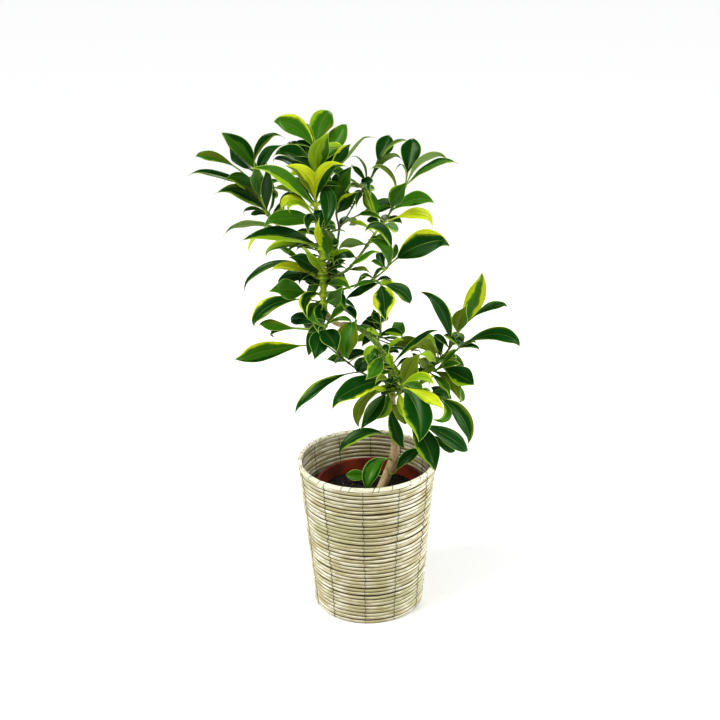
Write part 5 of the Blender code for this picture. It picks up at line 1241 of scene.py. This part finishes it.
def variegationGroup():
    # Where a leaf's margin colours give way to its middle: a wandering border on each side of the midrib, feathered
    # along the blade, with a band of half-tone inside it.
    group, given, out = newGroup(
        "leaf variegation",
        {"Place": ("NodeSocketVector", None), "Side Tint": ("NodeSocketColor", None),
         "Middle Tint": ("NodeSocketColor", None), "Other Tint": ("NodeSocketColor", None),
         "Margin": ("NodeSocketFloat", 0.36), "Half Fill And Painted Light": ("NodeSocketFloat", 0.0)},
        {"Colour": "NodeSocketColor", "Streaks": "NodeSocketFloat", "Midrib": "NodeSocketFloat"})
    parts = newNode(group, "ShaderNodeSeparateXYZ")
    group.links.new(given["Place"], parts.inputs[0])
    along, across, seed = parts.outputs
    sideways = maths(group, "SIGN", across)
    edge = maths(group, "SUBTRACT", 1.0, maths(group, "ABSOLUTE", across))

    def wander(scaleAlong, scaleAcross, offset, detail):
        spot = newNode(group, "ShaderNodeCombineXYZ")
        feed(group, spot.inputs[0], maths(group, "ADD", maths(group, "MULTIPLY", along, scaleAlong),
                                          maths(group, "MULTIPLY", seed, 71.0)))
        feed(group, spot.inputs[1], maths(group, "MULTIPLY", across if scaleAcross else sideways, scaleAcross or 7.3))
        feed(group, spot.inputs[2], maths(group, "ADD", maths(group, "MULTIPLY", seed, 33.0), offset))
        return cloud(group, spot.outputs[0], 1.0, detail)

    slow = wander(3.2, 0.0, 0.0, 2.0)
    streak = wander(5.0, 16.0, 4.0, 3.0)
    ownMargin = maths(group, "MULTIPLY", given["Margin"],
                      maths(group, "ADD", 0.30, maths(group, "MULTIPLY", maths(group, "FRACT", maths(group, "MULTIPLY", seed, 7.31)), 1.25)))
    border = maths(group, "ADD", ownMargin, maths(group, "MULTIPLY", maths(group, "SUBTRACT", slow, 0.5), 1.25))
    border = maths(group, "ADD", border, maths(group, "MULTIPLY", maths(group, "SUBTRACT", streak, 0.5), 0.34))
    # a filled half takes the margin colour up to the midrib: partly variegation, partly painted light on one half
    halfFillAndLight = maths(group, "MAXIMUM", 0.0, maths(group, "MULTIPLY", given["Half Fill And Painted Light"], sideways))
    border = maths(group, "ADD", border, maths(group, "MULTIPLY", halfFillAndLight, 2.0))
    mask = ramp(group, edge, maths(group, "ADD", border, 0.045), maths(group, "SUBTRACT", border, 0.045))
    halfTone = ramp(group, edge, maths(group, "ADD", border, 0.22), border)
    margin = mixColours(group, ramp(group, across, -0.02, 0.02), given["Other Tint"], given["Side Tint"])
    middle = mixColours(group, maths(group, "MULTIPLY", halfTone, 0.30), given["Middle Tint"], margin)
    colour = mixColours(group, mask, middle, margin)
    rib = ramp(group, maths(group, "ABSOLUTE", across), 0.040, 0.010)
    group.links.new(colour, out["Colour"])
    group.links.new(ramp(group, wander(1.6, 9.0, 9.0, 3.0), 0.50, 0.68), out["Streaks"])
    group.links.new(rib, out["Midrib"])
    return group


def makeLeafLook(variegation, speckle):
    material, tree, shader = newMaterial("leaf", 0.4, IOR=1.30, Coat_Weight=0.04, Coat_Roughness=0.2)
    shader.inputs["Specular Tint"].default_value = (0.66, 1.0, 0.50, 1.0)
    place = attribute(tree, "leafPlace")
    side = newNode(tree, "ShaderNodeSeparateXYZ")
    tree.links.new(attribute(tree, "leafSide"), side.inputs[0])
    under, halfFillAndLight, inward = side.outputs
    zones = placeGroup(tree, variegation, **{
        "Half Fill And Painted Light": halfFillAndLight, "Place": place, "Side Tint": attribute(tree, "sideTint", "Color"),
        "Middle Tint": attribute(tree, "middleTint", "Color"), "Other Tint": attribute(tree, "otherTint", "Color")})
    grain = placeGroup(tree, speckle, **{
        "Place": newNode(tree, "ShaderNodeTexCoord").outputs["Object"], "Patch Scale": 45.0, "Grain Scale": 900.0})
    spot = newNode(tree, "ShaderNodeSeparateXYZ")
    tree.links.new(place, spot.inputs[0])
    along, across, seed = spot.outputs
    light = maths(tree, "ADD", 0.66, maths(tree, "MULTIPLY", grain["Patches"], 0.36))
    light = maths(tree, "ADD", light, maths(tree, "MULTIPLY", seed, 0.32))
    shade = newNode(tree, "ShaderNodeCombineColor")
    for socket in shade.inputs[:3]:
        tree.links.new(light, socket)
    colour = mixColours(tree, 1.0, zones["Colour"], shade.outputs[0], "MULTIPLY")
    colour = mixColours(tree, maths(tree, "MULTIPLY", zones["Streaks"], 0.42), colour, (0.012, 0.075, 0.003, 1.0))
    colour = mixColours(tree, maths(tree, "MULTIPLY", zones["Midrib"], 0.34), colour, (0.27, 0.38, 0.05, 1.0))
    # a thin pale line runs round the edge, and the tip is dark
    strong = maths(tree, "ADD", 0.18, maths(tree, "MULTIPLY", maths(tree, "FRACT", maths(tree, "MULTIPLY", seed, 13.7)), 0.6))
    rim = maths(tree, "MULTIPLY", ramp(tree, inward, 0.95, 0.45), strong)
    colour = mixColours(tree, rim, colour, (0.50, 0.62, 0.13, 1.0))
    colour = mixColours(tree, ramp(tree, along, 0.955, 0.99), colour, (0.045, 0.050, 0.010, 1.0))
    pale = mixColours(tree, 0.55, colour, (0.20, 0.30, 0.09, 1.0))
    colour = mixColours(tree, under, colour, pale)
    tree.links.new(colour, shader.inputs["Base Color"])
    rough = maths(tree, "ADD", 0.30, maths(tree, "MULTIPLY", grain["Patches"], 0.14))
    rough = maths(tree, "ADD", rough, maths(tree, "MULTIPLY", under, 0.22))
    tree.links.new(rough, shader.inputs["Roughness"])
    # faint side veins, slanting from the midrib to the margin, and the skin's own fine grain
    slant = maths(tree, "SUBTRACT", maths(tree, "MULTIPLY", along, 11.0),
                  maths(tree, "MULTIPLY", maths(tree, "ABSOLUTE", across), 2.4))
    slant = maths(tree, "ADD", slant, maths(tree, "MULTIPLY", grain["Patches"], 0.8))
    vein = maths(tree, "ABSOLUTE", maths(tree, "SINE", maths(tree, "MULTIPLY", slant, math.pi)))
    vein = ramp(tree, vein, 0.0, 0.35)
    height = maths(tree, "ADD", maths(tree, "MULTIPLY", vein, 0.55), maths(tree, "MULTIPLY", grain["Grain"], 0.10))
    bumped(tree, shader, height, 0.22, 0.25 * mm)
    return material


def makeStemLook(speckle):
    material, tree, shader = newMaterial("green_stem", 0.42)
    spot = newNode(tree, "ShaderNodeSeparateXYZ")
    tree.links.new(attribute(tree, "stemPlace"), spot.inputs[0])
    along, around, fresh = spot.outputs
    grain = placeGroup(tree, speckle, **{
        "Place": newNode(tree, "ShaderNodeTexCoord").outputs["Object"], "Patch Scale": 70.0, "Grain Scale": 700.0})
    tone = maths(tree, "ADD", fresh, maths(tree, "MULTIPLY", maths(tree, "SUBTRACT", grain["Patches"], 0.5), 0.9))
    colour = mixColours(tree, ramp(tree, tone, 0.0, 0.6), (0.075, 0.060, 0.018, 1.0), (0.095, 0.220, 0.012, 1.0))
    colour = mixColours(tree, ramp(tree, tone, 0.5, 1.0), colour, (0.34, 0.50, 0.018, 1.0))
    # pale stripes run along the fresh stems
    stripe = newNode(tree, "ShaderNodeCombineXYZ")
    feed(tree, stripe.inputs[0], maths(tree, "MULTIPLY", maths(tree, "COSINE", around), 2.2))
    feed(tree, stripe.inputs[1], maths(tree, "MULTIPLY", maths(tree, "SINE", around), 2.2))
    feed(tree, stripe.inputs[2], maths(tree, "MULTIPLY", along, 0.45))
    streaks = ramp(tree, cloud(tree, stripe.outputs[0], 1.0, 2.0), 0.50, 0.58)
    streaks = maths(tree, "MULTIPLY", streaks, ramp(tree, tone, 0.4, 0.9))
    colour = mixColours(tree, maths(tree, "MULTIPLY", streaks, 0.75), colour, (0.50, 0.56, 0.05, 1.0))
    tree.links.new(colour, shader.inputs["Base Color"])
    bumped(tree, shader, grain["Grain"], 0.25, 0.3 * mm)
    return material


def makeBarkLook(speckle):
    material, tree, shader = newMaterial("bark", 0.62)
    spot = newNode(tree, "ShaderNodeSeparateXYZ")
    tree.links.new(attribute(tree, "barkPlace"), spot.inputs[0])
    rise, turn, green = spot.outputs
    place = newNode(tree, "ShaderNodeTexCoord").outputs["Object"]
    grain = placeGroup(tree, speckle, **{"Place": place, "Patch Scale": 60.0, "Grain Scale": 650.0})
    stretched = newNode(tree, "ShaderNodeMapping", Scale=(420.0, 420.0, 45.0))
    tree.links.new(place, stretched.inputs["Vector"])
    fibre = cloud(tree, stretched.outputs[0], 1.0, 4.0, 0.6)
    tan = mixColours(tree, ramp(tree, grain["Patches"], 0.35, 0.7), (0.60, 0.45, 0.25, 1.0), (0.36, 0.29, 0.12, 1.0))
    tan = mixColours(tree, maths(tree, "MULTIPLY", ramp(tree, fibre, 0.52, 0.72), 0.7), tan, (0.13, 0.090, 0.038, 1.0))
    fresh = mixColours(tree, ramp(tree, fibre, 0.3, 0.7), (0.24, 0.36, 0.045, 1.0), (0.11, 0.20, 0.020, 1.0))
    wander = maths(tree, "ADD", green, maths(tree, "MULTIPLY", maths(tree, "SUBTRACT", grain["Patches"], 0.5), 0.7))
    tree.links.new(mixColours(tree, ramp(tree, wander, 0.25, 0.75), tan, fresh), shader.inputs["Base Color"])
    height = maths(tree, "ADD", maths(tree, "MULTIPLY", fibre, 0.8), maths(tree, "MULTIPLY", grain["Grain"], 0.35))
    bumped(tree, shader, height, 0.55, 0.5 * mm)
    return material


def makeCaneLook(speckle):
    material, tree, shader = newMaterial("cane", 0.55)
    spot = newNode(tree, "ShaderNodeSeparateXYZ")
    tree.links.new(attribute(tree, "canePlace"), spot.inputs[0])
    arc, section, row = spot.outputs
    patch = newNode(tree, "ShaderNodeCombineXYZ")
    feed(tree, patch.inputs[0], maths(tree, "MULTIPLY", arc, 0.35))
    feed(tree, patch.inputs[1], maths(tree, "MULTIPLY", row, 1.7))
    fibrePlace = newNode(tree, "ShaderNodeCombineXYZ")
    feed(tree, fibrePlace.inputs[0], maths(tree, "MULTIPLY", arc, 0.8))
    feed(tree, fibrePlace.inputs[1], maths(tree, "MULTIPLY", maths(tree, "SINE", section), 7.0))
    feed(tree, fibrePlace.inputs[2], maths(tree, "ADD", maths(tree, "COSINE", section), maths(tree, "MULTIPLY", row, 3.1)))
    soft = cloud(tree, patch.outputs[0], 1.0, 2.0)
    fibre = cloud(tree, fibrePlace.outputs[0], 1.0, 4.0, 0.6)
    hue = cloud(tree, newNode(tree, "ShaderNodeTexCoord").outputs["Object"], 14.0, 1.0)
    straw = mixColours(tree, ramp(tree, soft, 0.36, 0.64), (1.0, 0.97, 0.79, 1.0), (0.60, 0.54, 0.32, 1.0))
    straw = mixColours(tree, maths(tree, "MULTIPLY", ramp(tree, hue, 0.52, 0.68), 0.50), straw, (0.50, 0.53, 0.27, 1.0))
    straw = mixColours(tree, maths(tree, "MULTIPLY", ramp(tree, hue, 0.42, 0.30), 0.35), straw, (0.72, 0.58, 0.50, 1.0))
    straw = mixColours(tree, maths(tree, "MULTIPLY", ramp(tree, fibre, 0.50, 0.74), 0.60), straw, (0.30, 0.24, 0.09, 1.0))
    # painted shade: the front and back middle are darker and more olive, and the groove where a row's strands meet
    # is darker; the rim is paler than the rows
    spot = newNode(tree, "ShaderNodeSeparateXYZ")
    tree.links.new(newNode(tree, "ShaderNodeTexCoord").outputs["Object"], spot.inputs[0])
    paintedFrontBackShade = ramp(tree, maths(tree, "ABSOLUTE", spot.outputs[0]), 0.062, 0.012)
    straw = mixColours(tree, maths(tree, "MULTIPLY", paintedFrontBackShade, 0.34), straw, (0.41, 0.37, 0.17, 1.0))
    meeting = maths(tree, "ABSOLUTE", maths(tree, "SINE", section))
    ofRim = ramp(tree, row, 38.5, 39.5)
    # painted shade: the lower half of each row is darker, more so at the front and back, not on the rim
    lower = maths(tree, "MULTIPLY", ramp(tree, maths(tree, "SINE", section), 0.12, -0.30), ramp(tree, row, 39.5, 38.5))
    lower = maths(tree, "MULTIPLY", lower, maths(tree, "ADD", 0.22, maths(tree, "MULTIPLY", paintedFrontBackShade, 0.38)))
    straw = mixColours(tree, lower, straw, (0.27, 0.21, 0.08, 1.0))
    # painted shade in the groove between a row's two strands, weaker on the rim
    parting = maths(tree, "MULTIPLY", ramp(tree, meeting, 0.28, 0.04), maths(tree, "SUBTRACT", 0.75, maths(tree, "MULTIPLY", ofRim, 0.75)))
    straw = mixColours(tree, parting, straw, (0.17, 0.13, 0.035, 1.0))
    # painted shade where the rows meet above and below, stronger on the outside, weaker on the rim
    paintedRowGapShade = maths(tree, "MULTIPLY", ramp(tree, meeting, 0.50, 0.92), maths(tree, "SUBTRACT", 0.90, maths(tree, "MULTIPLY", ofRim, 0.7)))
    outward = ramp(tree, maths(tree, "COSINE", section), -0.3, 0.1)
    paintedRowGapShade = maths(tree, "MULTIPLY", paintedRowGapShade, maths(tree, "ADD", 0.45, maths(tree, "MULTIPLY", outward, 0.55)))
    straw = mixColours(tree, paintedRowGapShade, straw, (0.10, 0.08, 0.02, 1.0))
    straw = mixColours(tree, maths(tree, "MULTIPLY", ofRim, 0.25), straw, (0.93, 0.91, 0.80, 1.0))
    tree.links.new(straw, shader.inputs["Base Color"])
    bumped(tree, shader, fibre, 0.5, 0.4 * mm)
    return material


def makeSimpleLook(name, speckle, dark, light, roughness, patchScale, grainScale, bump, depth):
    # a plain finish: patches between a dark and a light tone, and a fine grain in relief
    material, tree, shader = newMaterial(name, roughness)
    grain = placeGroup(tree, speckle, **{
        "Place": newNode(tree, "ShaderNodeTexCoord").outputs["Object"], "Patch Scale": patchScale,
        "Grain Scale": grainScale})
    tree.links.new(mixColours(tree, ramp(tree, grain["Patches"], 0.35, 0.65), dark, light), shader.inputs["Base Color"])
    bumped(tree, shader, grain["Grain"], bump, depth)
    return material


# The studio

studio = {
    "eye": (-0.006, -1.26, 0.82),
    "pitch": 20.55,
    "yaw": 0.05,
    "roll": -0.9,
    "lens": 52.5,
    "floor": (0.93, 0.93, 0.92, 1.0),
    "floorRadius": 60.0,
    "world": (0.97, 0.98, 1.0),
    "worldStrength": 0.42,
    "mirroredShare": 0.20,  # how much of the sky's light shiny surfaces mirror
    "backdropStrength": 0.90,
    "keyPlace": (-1.2, -0.62, 1.5),
    "keyStrength": 2.3,
    "keySoftness": 24.0,
    "lights": (
        # name, place, aim, size, power
        ("fill", (1.7, -0.55, 1.1), (0.0, 0.0, 0.3), 1.2, 24.0),
        ("back", (0.5, 1.4, 1.7), (0.0, 0.0, 0.4), 1.0, 12.0),
    ),
}


def makeStudio():
    material, tree, shader = newMaterial("studio_floor", 0.8)
    shader.inputs["Base Color"].default_value = studio["floor"]
    around = np.arange(64) * 2.0 * math.pi / 64
    points = ringAt(np.full(64, studio["floorRadius"]), np.zeros(64), around)
    mesh = bpy.data.meshes.new("studio_floor")
    mesh.from_pydata(points.tolist(), [], [list(range(64))])
    mesh.materials.append(material)
    floor = bpy.data.objects.new("studio_floor", mesh)
    bpy.context.scene.collection.objects.link(floor)

    world = bpy.data.worlds.new("soft_studio")
    world.use_nodes = True
    # the backdrop looks as pale as the floor, and lights the plant less than it shows
    tree = world.node_tree
    tree.nodes["Background"].inputs[0].default_value = (*studio["world"], 1.0)
    ray = newNode(tree, "ShaderNodeLightPath").outputs
    low, high = studio["worldStrength"], studio["backdropStrength"]
    strength = maths(tree, "ADD", low, maths(tree, "MULTIPLY", ray["Is Camera Ray"], high - low))
    strength = maths(tree, "SUBTRACT", strength,
                     maths(tree, "MULTIPLY", ray["Is Glossy Ray"], low * (1.0 - studio["mirroredShare"])))
    tree.links.new(strength, tree.nodes["Background"].inputs[1])
    bpy.context.scene.world = world
    sun = bpy.data.lights.new("key", "SUN")
    sun.energy = studio["keyStrength"]
    sun.angle = math.radians(studio["keySoftness"])
    item = bpy.data.objects.new("key", sun)
    bpy.context.scene.collection.objects.link(item)
    item.matrix_world = aimed(-np.array(studio["keyPlace"]))
    for name, place, aim, size, power in studio["lights"]:
        lamp = bpy.data.lights.new(name, "AREA")
        lamp.size = size
        lamp.energy = power
        lamp.shape = "DISK"
        item = bpy.data.objects.new(name, lamp)
        bpy.context.scene.collection.objects.link(item)
        way = np.array(aim) - np.array(place)
        item.matrix_world = Matrix.Translation(place) @ aimed(way)

    camera = bpy.data.objects.new("camera", bpy.data.cameras.new("camera"))
    camera.data.lens = studio["lens"]
    camera.data.clip_start = 0.05
    camera.data.clip_end = 200.0
    camera.matrix_world = (Matrix.Translation(studio["eye"])
                           @ Matrix.Rotation(math.radians(studio["yaw"]), 4, "Z")
                           @ Matrix.Rotation(math.radians(90.0 - studio["pitch"]), 4, "X")
                           @ Matrix.Rotation(math.radians(studio["roll"]), 4, "Z"))
    bpy.context.scene.collection.objects.link(camera)
    bpy.context.scene.camera = camera
    bpy.context.scene.view_settings.view_transform = "Standard"
    bpy.context.scene.view_settings.look = "Medium High Contrast"
    print("studio made")


def aimed(way):
    # the turn that points a lamp's -Z along a direction
    back = -unit(np.asarray(way, float))
    side = unit(np.cross((0.0, 0.0, 1.0), back))
    up = np.cross(back, side)
    return Matrix([[side[k], up[k], back[k], 0.0] for k in range(3)] + [[0.0, 0.0, 0.0, 1.0]])


def build():
    speckle = speckleGroup()
    variegation = variegationGroup()
    caneLook = makeCaneLook(speckle)
    makeShoots(makeLeafLook(variegation, speckle), makeStemLook(speckle))
    makeTrunk(makeBarkLook(speckle))
    lining = makeCaneRows(caneLook)
    # painted shade: a near-black finish for the lining between the rows, lighter brown on its inside face
    gapShadeLook = makeSimpleLook("cane_gaps_painted_shade", speckle, (0.030, 0.022, 0.004, 1.0), (0.065, 0.050, 0.012, 1.0), 0.85, 60.0,
                             500.0, 0.3, 0.3 * mm)
    tree, shader = gapShadeLook.node_tree, gapShadeLook.node_tree.nodes["Principled BSDF"]
    dark = shader.inputs["Base Color"].links[0].from_socket
    inner = mixColours(tree, attribute(tree, "liningSide", "Fac"), dark, (0.24, 0.19, 0.09, 1.0))
    tree.links.new(inner, shader.inputs["Base Color"])
    threadLook = makeSimpleLook("thread", speckle, (0.030, 0.027, 0.009, 1.0), (0.085, 0.075, 0.025, 1.0), 0.75, 90.0,
                                900.0, 0.3, 0.2 * mm)
    addPiece("cane_lining", [lining], [gapShadeLook], [])
    makeRim(caneLook, threadLook,
            makeSimpleLook("loose_fibre", speckle, (0.15, 0.17, 0.07, 1.0), (0.40, 0.42, 0.26, 1.0), 0.8, 300.0, 900.0, 0.2,
                           0.1 * mm))
    makeStitching(threadLook)
    makeInnerPot(makeSimpleLook("nursery_clay", speckle, (0.10, 0.010, 0.0003, 1.0), (0.21, 0.026, 0.0008, 1.0), 0.72,
                                40.0, 800.0, 0.1, 0.1 * mm))
    makeSoil(makeSimpleLook("soil", speckle, (0.004, 0.003, 0.002, 1.0), (0.018, 0.012, 0.007, 1.0), 0.95, 260.0,
                            1500.0, 0.8, 0.8 * mm),
             makeSimpleLook("soil_specks", speckle, (0.09, 0.07, 0.04, 1.0), (0.22, 0.19, 0.12, 1.0), 0.8, 500.0,
                            2500.0, 0.4, 0.3 * mm))
    # the basket's base takes the same painted-shade finish
    base = frame["nodes"]["basket_base"]
    base.data.materials.clear()
    base.data.materials.append(gapShadeLook)
    makeStudio()


build()
